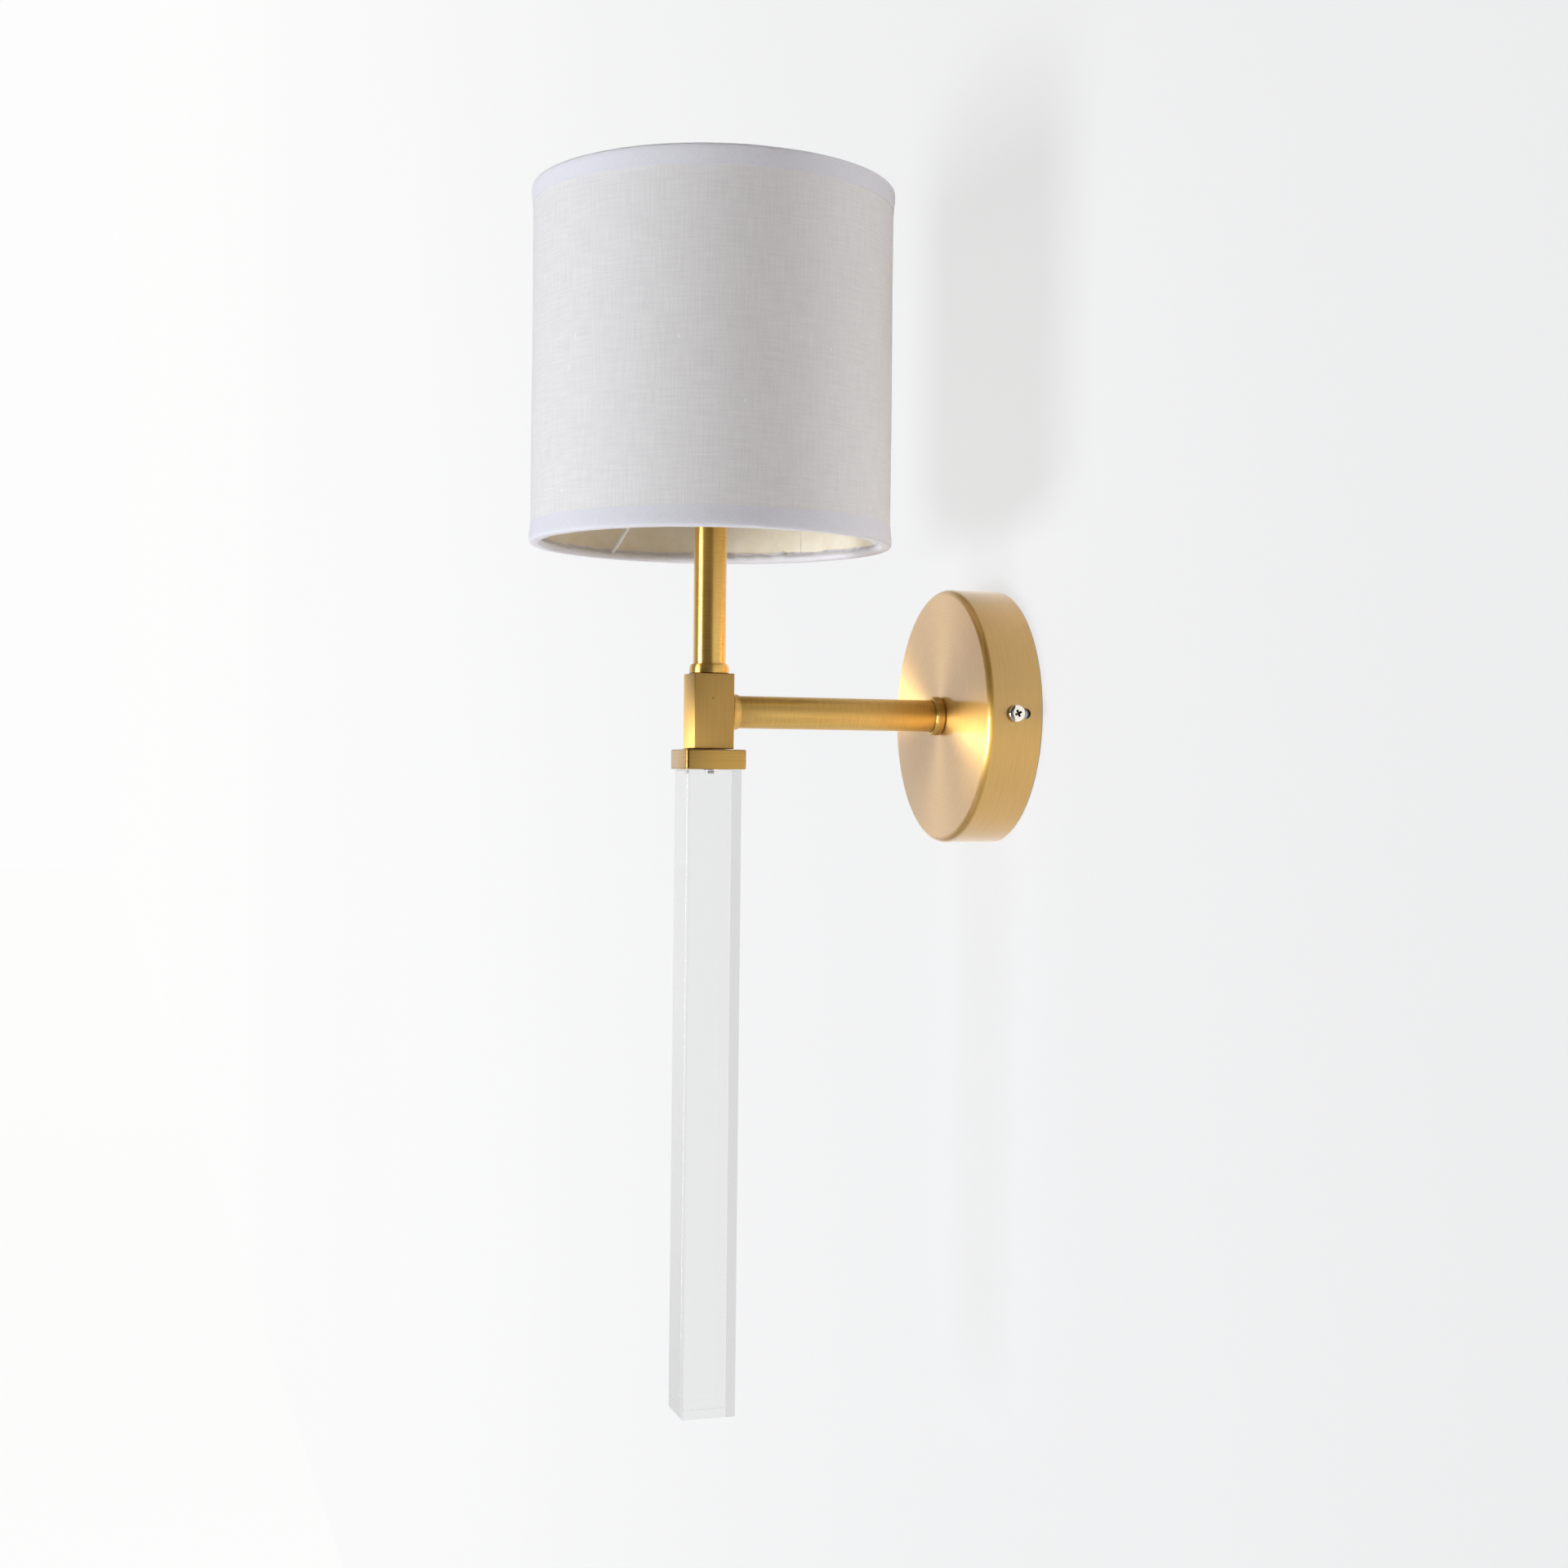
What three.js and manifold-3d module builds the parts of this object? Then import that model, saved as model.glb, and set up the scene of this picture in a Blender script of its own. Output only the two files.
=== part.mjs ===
// Wall sconce: a round canopy, a fixed arm, a corner block with a clear square
// rod below it and a stem with a lampholder, a bulb and a drum shade above it.
// Millimetres. +Z is up, the wall is the plane Y = 0, the room is towards -Y,
// and the origin is the centre of the canopy's open back.
import * as THREE from 'three';
import { mergeVertices } from 'three/addons/utils/BufferGeometryUtils.js';
import Module from 'manifold-3d';

const wasm = await Module();
wasm.setup();

// Clearances
const SEAT_GAP = 0.3;            // between pieces that rest on each other
const FIT_GAP = 0.3;             // all round a piece that passes through another

// Canopy: a cup that is open towards the wall
const CANOPY_RADIUS = 60;
const CANOPY_DEPTH = 26;
const CANOPY_WALL = 1.2;
const CANOPY_EDGE_RADIUS = 3;
const SLOT_WIDTH = 4.8;          // side slots that the canopy screws pass through
const SLOT_TO_WALL = 5;          // from the screw to the slot's end arc nearer the wall
const SLOT_TO_FACE = 1;          // from the screw to the slot's other end arc

// Bracket: a bent strip that is screwed to the wall
const BRACKET_WIDTH = 16;
const BRACKET_THICKNESS = 1.6;
const BRACKET_EAR_HEIGHT = 19;
const BRACKET_BEND_RADIUS = 2.6;
const WALL_SLOT_LENGTH = 14;
const WALL_SLOT_WIDTH = 5;
const WALL_SLOT_FROM_CENTRE = 38;
const EARTH_SCREW_FROM_CENTRE = 16;

// Machine screws, M4
const SCREW_RADIUS = 2;
const SCREW_HEAD_RADIUS = 4;
const SCREW_HEAD_HEIGHT = 2.7;
const SCREW_TIP_CHAMFER = 0.5;
const SCREW_HEAD_CURVE = [[1, 0.45], [0.87, 0.78], [0.58, 0.96]];   // parts of radius and height
const SCREW_RECESS_SPAN = 4.4;
const SCREW_RECESS_WIDTH = 0.9;
const SCREW_RECESS_DEPTH = 1.7;
const CANOPY_SCREW_LENGTH = 8;
const CANOPY_SCREW_FROM_WALL = 13;

// Terminal block in the canopy
const POLE_PITCH = 7;
const POLE_COUNT = 3;
const TERMINAL_WIDTH = 16;
const TERMINAL_BASE_HEIGHT = 8;
const TERMINAL_TOWER_HEIGHT = 12;
const TERMINAL_TOWER_WIDTH = 5.2;
const TERMINAL_FROM_CENTRE = 8;
const TERMINAL_BORE_RADIUS = 1.6;
const TERMINAL_BORE_HEIGHT = 5;
const TERMINAL_SCREW_RADIUS = 1.5;
const TERMINAL_SCREW_SPACING = 5.5;
const TERMINAL_SCREW_BELOW_TOP = 1;
const TERMINAL_SCREW_SLOT_WIDTH = 0.7;
const TERMINAL_SCREW_SLOT_DEPTH = 0.8;

// Tube for the arm and the stem, with a threaded bush brazed in each end
const TUBE_RADIUS = 7.5;
const TUBE_BORE_RADIUS = 6.4;
const TUBE_BUSH_LENGTH = 9;
const TUBE_END_CHAMFER = 0.4;

// Hollow threaded nipples, M10
const NIPPLE_RADIUS = 5;
const NIPPLE_BORE_RADIUS = 4;
const NIPPLE_CHAMFER = 0.6;
const NIPPLE_SHORT_OF_BUSH = 1;  // a nipple ends this far before its bush does
const NIPPLE_PAST_NUT = 1.5;
const NIPPLE_PAST_FLOOR = 1;
const NIPPLE_PAST_BORE = 1.2;    // between a nipple's end and the other bore in the block
const LOCK_NUT_ACROSS_FLATS = 14;
const LOCK_NUT_HEIGHT = 4;
const LOCK_WASHER_RADIUS = 8.5;
const LOCK_WASHER_THICKNESS = 1;
const BUSH_FLANGE_RADIUS = 4.9;
const BUSH_FLANGE_THICKNESS = 1;
const BUSH_LENGTH = 5;
const BUSH_WALL = 0.5;

// Collars: cups that the tube ends stand in
const COLLAR_WEB = 1.5;
const COLLAR_LIP = 0.3;          // thickness of a tapered collar's rim
const COLLAR_FOOT = 1;           // straight part under a collar's taper or dome
const CANOPY_COLLAR_RADIUS = 9.2;
const CANOPY_COLLAR_LENGTH = 4.5;
const CANOPY_COLLAR_BEVEL = 0.7;
const ARM_COLLAR_RADIUS = 8.8;
const ARM_COLLAR_LENGTH = 3.6;
const STEM_COLLAR_RADIUS = 9.2;
const STEM_COLLAR_LENGTH = 4.2;

// Corner block that joins arm, stem and rod
const BLOCK_WIDTH = 19;
const BLOCK_HEIGHT = 34.5;
const BLOCK_CORNER = 0.6;
const BLOCK_EDGE = 0.4;
const REACH = 140;               // wall to the axis of stem and rod
const STUD_DEPTH_IN_BLOCK = 7;

// Clear rod under the block, and the cap that carries it
const CAP_WIDTH = 28.5;
const CAP_HEIGHT = 9;
const CAP_CORNER = 1.5;
const CAP_EDGE = 0.8;
const ROD_WIDTH = 25;
const ROD_LENGTH = 295;
const ROD_CORNER = 0.6;
const ROD_EDGE = 0.5;
const STUD_RADIUS = 2.5;
const STUD_DEPTH_IN_ROD = 1.6;
const STUD_CHAMFER = 0.5;

// Stem and lampholder, an E26 holder with a threaded skirt for the shade
const STEM_TUBE_LENGTH = 72;
const HOLDER_BASE_HEIGHT = 18;
const HOLDER_BASE_FLOOR = 5;
const HOLDER_BASE_RIM = 4;       // straight part above the base's bowl
const HOLDER_BOWL_DEGREES = 70;  // arc of the bowl, measured down from level
const HOLDER_NECK_RADIUS = 9;
const HOLDER_NECK_HEIGHT = 4;
const HOLDER_RADIUS = 21;
const HOLDER_WALL = 2.2;
const HOLDER_SHOULDER_RADIUS = 23;
const HOLDER_SHOULDER_THICKNESS = 2.5;
const HOLDER_SHOULDER_HEIGHT = 14.5;
const HOLDER_BODY_HEIGHT = 42;
const SKIRT_RADIUS = 19.75;
const SKIRT_CHAMFER = 0.6;
const CORE_LEDGE = 1.8;
const CORE_LEDGE_RADIUS = 14.5;
const CORE_THICKNESS = 7;
const SHELL_WALL = 0.5;
const SHELL_HEIGHT = 26.7;
const SHELL_FLOOR_HOLE_RADIUS = 9;
const TONGUE_RADIUS = 4.5;
const TONGUE_THICKNESS = 0.8;
const TONGUE_LIFT = 3;           // underside of the tongue over the core's top
const TONGUE_STEM_RADIUS = 2.9;
const TONGUE_STEM_LENGTH = 8.5;
const CLAMP_FROM_CENTRE = 9;
const CLAMP_SIZE = [5, 6, 4];
const CLAMP_SCREW_RADIUS = 1.2;
const CLAMP_SCREW_LENGTH = 2;
const CLAMP_SCREW_PROUD = 1;

// Bulb with an E26 cap
const BULB_THREAD_RADIUS = 13;
const BULB_THREAD_ROOT = 12.3;
const BULB_THREAD_PITCH = 3.6286;
const BULB_THREAD_TURNS = 4;
const BULB_CAP_WALL = 0.5;
const BULB_CAP_TOP_LENGTH = 4.5;
const BULB_CAP_FOOT_RADIUS = 11;
const BULB_CAP_FOOT_HEIGHT = 0.8;
const BULB_CAP_FLOOR = 1.2;
const BULB_THREAD_CREST = [0.4, 0.6];    // start and end of the crest, in pitches
const BULB_CAP_RIM_FLARE = 0.4;
const BULB_CONTACT_RADIUS = 4.6;
const BULB_CONTACT_THICKNESS = 1.4;
const BULB_CONTACT_CURVE = [[0.7, 0.15], [1, 0.6]];   // parts of radius and thickness
const BULB_INSULATOR_HEIGHT = 4;
const BULB_INSULATOR_EDGE = 0.8;
const BULB_INSULATOR_MARGIN = 0.6;
const BULB_GLOBE_RADIUS = 25;
const BULB_NECK_RADIUS = 11;
const BULB_NECK_IN_CAP = 8;
const BULB_NECK_LENGTH = 6;
const BULB_GLASS_WALL = 0.8;

// Shade
const SHADE_RADIUS = 82.4;
const SHADE_HEIGHT = 162;
const FABRIC_THICKNESS = 0.8;
const LINER_THICKNESS = 0.6;
const TRIM_THICKNESS = 0.5;
const TRIM_OUTER_WIDTH = 9;
const TRIM_INNER_WIDTH = 7;
const RING_WIRE_RADIUS = 1.2;
const SPIDER_DROP = 47;          // fitter ring to the bottom ring's centre
const SPOKE_COUNT = 3;
const SPOKE_FIRST_ANGLE = 82;    // degrees from +X, anticlockwise from above
const SPOKE_WIRE_RADIUS = 1.15;
const SPOKE_ON_FITTER = 1.5;     // how far in from the fitter's rim a spoke is welded
const SPOKE_NOTCH_LENGTH = 12;
const SPOKE_NOTCH_GAP = 0.4;     // between a spoke and the notch in the tape
const FITTER_RADIUS = 28;
const FITTER_THICKNESS = 1;
const RING_NUT_RADIUS = 24.5;
const RING_NUT_HEIGHT = 5;
const RING_NUT_GRIPS = 12;
const RING_NUT_GRIP_DEPTH = 1.2;

// Leads
const LEAD_RADIUS = 1;
const LEAD_OFFSET = 1.6;         // each lead beside the centre line of the tubes
const LEAD_IN_TERMINAL = 1.2;
const LEAD_IN_CLAMP = 1;
const EARTH_TAG_RADIUS = 5.4;
const EARTH_TAG_THICKNESS = 0.8;
const LIVE_LEAD_DROP = 6.2;      // straight down from its pole before a lead bends
const LEAD_DROP = 8.2;
const LEAD_STRAIGHT = 30;        // from the block's centre to a point in either tube
const LEAD_AT_NIPPLE = [0.7, -0.3];      // past the nipple's mouth, and up
const LEAD_TURN = [[8, 0], [3, 0.7], [0.7, 3], [0, 8]];   // towards the wall, and up
const LEAD_IN_TUBE_END = 20;

// Slack of the leads in the canopy, laid by hand: [x, y, z] in the sconce's frame
const LIVE_SLACK = [[9, -8.5, -17], [4, -10.5, -12], [2.2, -12, -5]];
const NEUTRAL_SLACK = [[13, -8, -21], [3.5, -8.2, -21], [-1.8, -9, -13], [-2.2, -11.8, -5.5]];
const EARTH_SLACK = [[20, -7, -24], [6, -7.4, -27], [-9, -7, -22]];
const EARTH_END = [[0.5, -4.6, -12], [0, -2.95, -7], [0, -2.9, -4.5]];    // x from the screw

// Ends of the leads in the lampholder: [inwards from the clamp, up from the base]
const HOLDER_SLACK = [[4.5, 9.5], [1, 12.5]];
const LEAD_BELOW_BASE = 14;
const LEAD_ABOVE_BASE = 6;

// Fineness of the faceted rounds
const FINE = 72;
const WIDE = 48;
const MEDIUM = 28;
const COARSE = 20;
const SMALL = 12;
const WIRE_SIDES = 6;

// Places worked out from the sizes
const TUBE_SOCKET_RADIUS = TUBE_RADIUS + FIT_GAP;
const NIPPLE_HOLE_RADIUS = NIPPLE_RADIUS + FIT_GAP;
const SCREW_HOLE_RADIUS = SCREW_RADIUS + FIT_GAP;
const ARM_START = CANOPY_DEPTH + SEAT_GAP + COLLAR_WEB + SEAT_GAP;
const BLOCK_FACE = REACH - BLOCK_WIDTH / 2;
const ARM_END = BLOCK_FACE - SEAT_GAP - COLLAR_WEB - SEAT_GAP;
const NIPPLE_END_IN_BLOCK = NIPPLE_HOLE_RADIUS + NIPPLE_PAST_BORE;
const NIPPLE_DEPTH_IN_TUBE = TUBE_BUSH_LENGTH - NIPPLE_SHORT_OF_BUSH;
const LOCK_WASHER_START = CANOPY_DEPTH - CANOPY_WALL - SEAT_GAP - LOCK_WASHER_THICKNESS;
const LOCK_NUT_START = LOCK_WASHER_START - SEAT_GAP - LOCK_NUT_HEIGHT;
const CANOPY_NIPPLE_START = LOCK_NUT_START - NIPPLE_PAST_NUT;
const STEM_START = BLOCK_HEIGHT / 2 + SEAT_GAP + COLLAR_WEB + SEAT_GAP;
const STEM_END = STEM_START + STEM_TUBE_LENGTH;
const HOLDER_START = STEM_END + SEAT_GAP;
const HOLDER_BODY_START = HOLDER_START + HOLDER_BASE_HEIGHT + SEAT_GAP;
const SHOULDER_TOP = HOLDER_BODY_START + HOLDER_SHOULDER_HEIGHT;
const CORE_START = HOLDER_BODY_START + CORE_LEDGE + SEAT_GAP;
const CORE_TOP = CORE_START + CORE_THICKNESS;
const SHELL_START = CORE_TOP + SEAT_GAP;
const SHELL_BORE_RADIUS = BULB_THREAD_RADIUS + FIT_GAP;
const TONGUE_TOP = CORE_TOP + TONGUE_LIFT + TONGUE_THICKNESS;
const BULB_START = TONGUE_TOP + SEAT_GAP;
const FITTER_START = SHOULDER_TOP + SEAT_GAP;
const RING_NUT_START = FITTER_START + FITTER_THICKNESS + SEAT_GAP;
const LINER_RADIUS = SHADE_RADIUS - FABRIC_THICKNESS - FIT_GAP;
const RING_RADIUS = LINER_RADIUS - LINER_THICKNESS - FIT_GAP - RING_WIRE_RADIUS;
const BOTTOM_RING_HEIGHT = FITTER_START - SPIDER_DROP;
const SHADE_BOTTOM = BOTTOM_RING_HEIGHT - RING_WIRE_RADIUS - FIT_GAP - TRIM_THICKNESS;
const SHADE_TOP = SHADE_BOTTOM + SHADE_HEIGHT;
const TOP_RING_HEIGHT = SHADE_TOP - (BOTTOM_RING_HEIGHT - SHADE_BOTTOM);
const CAP_TOP = -BLOCK_HEIGHT / 2 - SEAT_GAP;
const ROD_TOP = CAP_TOP - CAP_HEIGHT - SEAT_GAP;

// ---------------------------------------------------------------- helpers

// A closed geometry as a solid that can be joined and cut
function solidOf(geometry) {
  const bare = new THREE.BufferGeometry();
  bare.setAttribute('position', geometry.getAttribute('position'));
  bare.setIndex(geometry.getIndex());
  const merged = mergeVertices(bare, 1e-4);
  const corners = merged.getIndex().array;
  const triangles = [];
  for (let i = 0; i < corners.length; i += 3) {
    const [a, b, c] = [corners[i], corners[i + 1], corners[i + 2]];
    const flat = a === b || b === c || c === a;
    if (!flat) triangles.push(a, b, c);
  }
  return new wasm.Manifold(new wasm.Mesh({
    numProp: 3,
    vertProperties: Float32Array.from(merged.getAttribute('position').array),
    triVerts: Uint32Array.from(triangles),
  }));
}

function geometryOf(solid) {
  const mesh = solid.getMesh();
  const geometry = new THREE.BufferGeometry();
  geometry.setAttribute('position', new THREE.BufferAttribute(mesh.vertProperties, 3));
  geometry.setIndex(new THREE.BufferAttribute(mesh.triVerts, 1));
  geometry.computeVertexNormals();
  return geometry;
}

// Solid of revolution about Z from [radius, height] points, anticlockwise
function revolve(profile, segments = MEDIUM) {
  const points = [...profile, profile[0]].map(([r, z]) => new THREE.Vector2(r, z));
  return solidOf(new THREE.LatheGeometry(points, segments).rotateX(Math.PI / 2));
}

// Points on an arc of a profile, both ends included, angles in degrees
function arc(centreR, centreZ, radius, from, to, steps) {
  return Array.from({ length: steps + 1 }, (_, i) => {
    const angle = THREE.MathUtils.degToRad(from + ((to - from) * i) / steps);
    return [centreR + radius * Math.cos(angle), centreZ + radius * Math.sin(angle)];
  });
}

function ring(outer, inner, bottom, top, segments) {
  return revolve([[inner, bottom], [outer, bottom], [outer, top], [inner, top]], segments);
}

function cylinder(radius, length, segments = SMALL) {
  const geometry = new THREE.CylinderGeometry(radius, radius, length, segments);
  return geometry.rotateX(Math.PI / 2).translate(0, 0, length / 2);
}

function box(x, y, z) {
  return new THREE.BoxGeometry(x, y, z);
}

// Round bar from one point to another
function bar(from, to, radius, segments = 8) {
  const along = to.clone().sub(from);
  const turn = new THREE.Quaternion().setFromUnitVectors(
    new THREE.Vector3(0, 0, 1), along.clone().normalize());
  const geometry = cylinder(radius, along.length(), segments).applyQuaternion(turn);
  return geometry.translate(from.x, from.y, from.z);
}

// Square prism on Z from 0 to height, with rounded corners and bevelled ends
function squarePrism(width, height, corner, edge) {
  const inner = width / 2 - corner;
  const bevel = Math.min(edge, corner * 0.8);
  const shape = new THREE.Shape();
  shape.absarc(inner, -inner, corner, -Math.PI / 2, 0);
  shape.absarc(inner, inner, corner, 0, Math.PI / 2);
  shape.absarc(-inner, inner, corner, Math.PI / 2, Math.PI);
  shape.absarc(-inner, -inner, corner, Math.PI, Math.PI * 1.5);
  return new THREE.ExtrudeGeometry(shape, {
    depth: height - 2 * bevel,
    bevelThickness: bevel,
    bevelSize: bevel,
    bevelOffset: -bevel,
    bevelSegments: 1,
    curveSegments: 3,
  }).translate(0, 0, bevel);
}

// Slot cutter along X with round ends, on Z from 0 to depth
function slotCutter(from, to, width, depth) {
  const radius = width / 2;
  const shape = new THREE.Shape();
  shape.absarc(to, 0, radius, -Math.PI / 2, Math.PI / 2);
  shape.absarc(from, 0, radius, Math.PI / 2, Math.PI * 1.5);
  return new THREE.ExtrudeGeometry(shape, { depth, bevelEnabled: false, curveSegments: 8 });
}

// Pan-head screw: head on z > 0, shank below
function panScrew(length) {
  const tip = SCREW_TIP_CHAMFER;
  const head = SCREW_HEAD_CURVE.map(([r, z]) => [SCREW_HEAD_RADIUS * r, SCREW_HEAD_HEIGHT * z]);
  const screw = revolve([
    [0, -length], [SCREW_RADIUS - tip, -length], [SCREW_RADIUS, -length + tip],
    [SCREW_RADIUS, 0], [SCREW_HEAD_RADIUS, 0], ...head, [0, SCREW_HEAD_HEIGHT],
  ], COARSE);
  const [span, width] = [SCREW_RECESS_SPAN, SCREW_RECESS_WIDTH];
  const wings = [[span, width], [width, span]].map(([x, y]) => solidOf(
    box(x, y, SCREW_RECESS_DEPTH * 2).translate(0, 0, SCREW_HEAD_HEIGHT)));
  return screw.subtract(wings[0].add(wings[1]));
}

function lead(points, steps) {
  const section = new THREE.Shape();
  section.absarc(0, 0, LEAD_RADIUS, 0, Math.PI * 2);
  const path = new THREE.CatmullRomCurve3(points.map((p) => new THREE.Vector3(...p)));
  return solidOf(new THREE.ExtrudeGeometry(section, {
    steps, extrudePath: path, bevelEnabled: false, curveSegments: 4,
  }));
}

// ---------------------------------------------------------------- finishes

const finishes = {
  brass: { color: 0xc79f5c, roughness: 0.34, metalness: 1 },
  canopy: { color: 0xd2b386, roughness: 0.38, metalness: 1 },
  steel: { color: 0xc9c9c6, roughness: 0.35, metalness: 1 },
  nickel: { color: 0xd6d2c8, roughness: 0.28, metalness: 1 },
  copper: { color: 0xb87a3a, roughness: 0.35, metalness: 1 },
  acrylic: { color: 0xf2f4f4, roughness: 0.04, metalness: 0, transparent: true, opacity: 0.35 },
  linen: { color: 0xdcdcdc, roughness: 0.92, metalness: 0 },
  tape: { color: 0xdcdce4, roughness: 0.9, metalness: 0 },
  styrene: { color: 0xe2dccb, roughness: 0.6, metalness: 0 },
  enamel: { color: 0xeeeeea, roughness: 0.4, metalness: 0 },
  phenolic: { color: 0x1b1a19, roughness: 0.45, metalness: 0 },
  porcelain: { color: 0xe9e5da, roughness: 0.35, metalness: 0 },
  nylon: { color: 0xe4e2da, roughness: 0.5, metalness: 0 },
  opal: { color: 0xf4f1ea, roughness: 0.3, metalness: 0 },
  blackGlass: { color: 0x161616, roughness: 0.2, metalness: 0 },
  liveSleeve: { color: 0x5a3620, roughness: 0.5, metalness: 0 },
  neutralSleeve: { color: 0x2f5e9e, roughness: 0.5, metalness: 0 },
  earthSleeve: { color: 0x4f8f3a, roughness: 0.5, metalness: 0 },
};

function addMesh(parent, name, solid, finish) {
  const mesh = new THREE.Mesh(geometryOf(solid), new THREE.MeshStandardMaterial(finishes[finish]));
  mesh.name = name;
  parent.add(mesh);
  return mesh;
}

// ---------------------------------------------------------------- wall end

// In the wall end's own frame Z is the distance from the wall and Y is up.

function bracketSolid() {
  const half = Math.sqrt(
    (CANOPY_RADIUS - CANOPY_WALL) ** 2 - (BRACKET_WIDTH / 2) ** 2) - FIT_GAP;
  const bend = BRACKET_BEND_RADIUS;
  const wall = BRACKET_THICKNESS;
  const shape = new THREE.Shape();
  shape.moveTo(-half, BRACKET_EAR_HEIGHT);
  shape.absarc(-half + bend, bend, bend, Math.PI, Math.PI * 1.5);
  shape.absarc(half - bend, bend, bend, -Math.PI / 2, 0);
  shape.lineTo(half, BRACKET_EAR_HEIGHT);
  shape.lineTo(half - wall, BRACKET_EAR_HEIGHT);
  shape.absarc(half - bend, bend, bend - wall, 0, -Math.PI / 2, true);
  shape.absarc(-half + bend, bend, bend - wall, -Math.PI / 2, -Math.PI, true);
  shape.lineTo(-half + wall, BRACKET_EAR_HEIGHT);
  const strip = new THREE.ExtrudeGeometry(shape, {
    depth: BRACKET_WIDTH, bevelEnabled: false, curveSegments: 4,
  }).rotateX(Math.PI / 2).translate(0, BRACKET_WIDTH / 2, 0);
  let solid = solidOf(strip);
  const slotHalf = (WALL_SLOT_LENGTH - WALL_SLOT_WIDTH) / 2;
  for (const side of [-1, 1]) {
    const slot = slotCutter(-slotHalf, slotHalf, WALL_SLOT_WIDTH, wall * 3);
    solid = solid.subtract(solidOf(slot.translate(side * WALL_SLOT_FROM_CENTRE, 0, -wall)));
  }
  const screwHole = cylinder(SCREW_HOLE_RADIUS, half * 3).translate(0, 0, -half * 1.5);
  solid = solid.subtract(solidOf(
    screwHole.rotateY(Math.PI / 2).translate(0, 0, CANOPY_SCREW_FROM_WALL)));
  const earthHole = cylinder(SCREW_HOLE_RADIUS, wall * 3);
  return solid.subtract(solidOf(earthHole.translate(-EARTH_SCREW_FROM_CENTRE, 0, -wall)));
}

function canopySolid() {
  const edge = CANOPY_EDGE_RADIUS;
  const inner = edge - CANOPY_WALL;
  const profile = [
    [CANOPY_RADIUS, 0],
    ...arc(CANOPY_RADIUS - edge, CANOPY_DEPTH - edge, edge, 0, 90, 4),
    [NIPPLE_HOLE_RADIUS, CANOPY_DEPTH],
    [NIPPLE_HOLE_RADIUS, CANOPY_DEPTH - CANOPY_WALL],
    ...arc(CANOPY_RADIUS - edge, CANOPY_DEPTH - edge, inner, 90, 0, 2),
    [CANOPY_RADIUS - CANOPY_WALL, 0],
  ];
  const slot = slotCutter(-SLOT_TO_FACE, SLOT_TO_WALL, SLOT_WIDTH, CANOPY_RADIUS * 3);
  slot.rotateY(Math.PI / 2).translate(-CANOPY_RADIUS * 1.5, 0, CANOPY_SCREW_FROM_WALL);
  return revolve(profile, FINE).subtract(solidOf(slot));
}

function terminalBlockSolid() {
  const length = POLE_PITCH * POLE_COUNT;
  let solid = solidOf(box(length, TERMINAL_WIDTH, TERMINAL_BASE_HEIGHT)
    .translate(length / 2, 0, TERMINAL_BASE_HEIGHT / 2));
  for (let pole = 0; pole < POLE_COUNT; pole += 1) {
    const x = POLE_PITCH * (pole + 0.5);
    const tower = box(TERMINAL_TOWER_WIDTH, TERMINAL_SCREW_SPACING * 2, TERMINAL_TOWER_HEIGHT);
    solid = solid.add(solidOf(tower.translate(x, 0, TERMINAL_TOWER_HEIGHT / 2)));
    const bore = cylinder(TERMINAL_BORE_RADIUS, TERMINAL_WIDTH * 2).rotateX(Math.PI / 2);
    solid = solid.subtract(solidOf(bore.translate(x, TERMINAL_WIDTH, TERMINAL_BORE_HEIGHT)));
    for (const side of [-1, 1]) {
      const well = cylinder(TERMINAL_SCREW_RADIUS + FIT_GAP, TERMINAL_TOWER_HEIGHT);
      solid = solid.subtract(solidOf(
        well.translate(x, (side * TERMINAL_SCREW_SPACING) / 2, TERMINAL_BORE_HEIGHT)));
    }
  }
  return solid;
}

function addTerminalScrews(parent) {
  const bottom = TERMINAL_BORE_HEIGHT + TERMINAL_BORE_RADIUS + SEAT_GAP;
  const length = TERMINAL_TOWER_HEIGHT - bottom - TERMINAL_SCREW_BELOW_TOP;
  const slot = box(
    TERMINAL_SCREW_SLOT_WIDTH, TERMINAL_SCREW_RADIUS * 3, TERMINAL_SCREW_SLOT_DEPTH * 2);
  const screw = solidOf(cylinder(TERMINAL_SCREW_RADIUS, length))
    .subtract(solidOf(slot.translate(0, 0, length)));
  for (let pole = 0; pole < POLE_COUNT; pole += 1) {
    for (const [end, side] of [['a', 1], ['b', -1]]) {
      const mesh = addMesh(parent, `terminal_screw_${pole + 1}${end}`, screw, 'nickel');
      const y = (side * TERMINAL_SCREW_SPACING) / 2;
      mesh.position.set(POLE_PITCH * (pole + 0.5), y, bottom);
    }
  }
}

function nippleSolid(length) {
  const [r, bore, cut] = [NIPPLE_RADIUS, NIPPLE_BORE_RADIUS, NIPPLE_CHAMFER];
  return revolve([
    [bore, 0], [r - cut, 0], [r, cut], [r, length - cut], [r - cut, length], [bore, length],
  ], COARSE);
}

function lockNutSolid() {
  const corner = LOCK_NUT_ACROSS_FLATS / Math.sqrt(3);
  const hex = new THREE.CylinderGeometry(corner, corner, LOCK_NUT_HEIGHT, 6)
    .rotateX(Math.PI / 2).translate(0, 0, LOCK_NUT_HEIGHT / 2);
  const bore = cylinder(NIPPLE_HOLE_RADIUS, LOCK_NUT_HEIGHT * 3, COARSE);
  return solidOf(hex).subtract(solidOf(bore.translate(0, 0, -LOCK_NUT_HEIGHT)));
}

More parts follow.
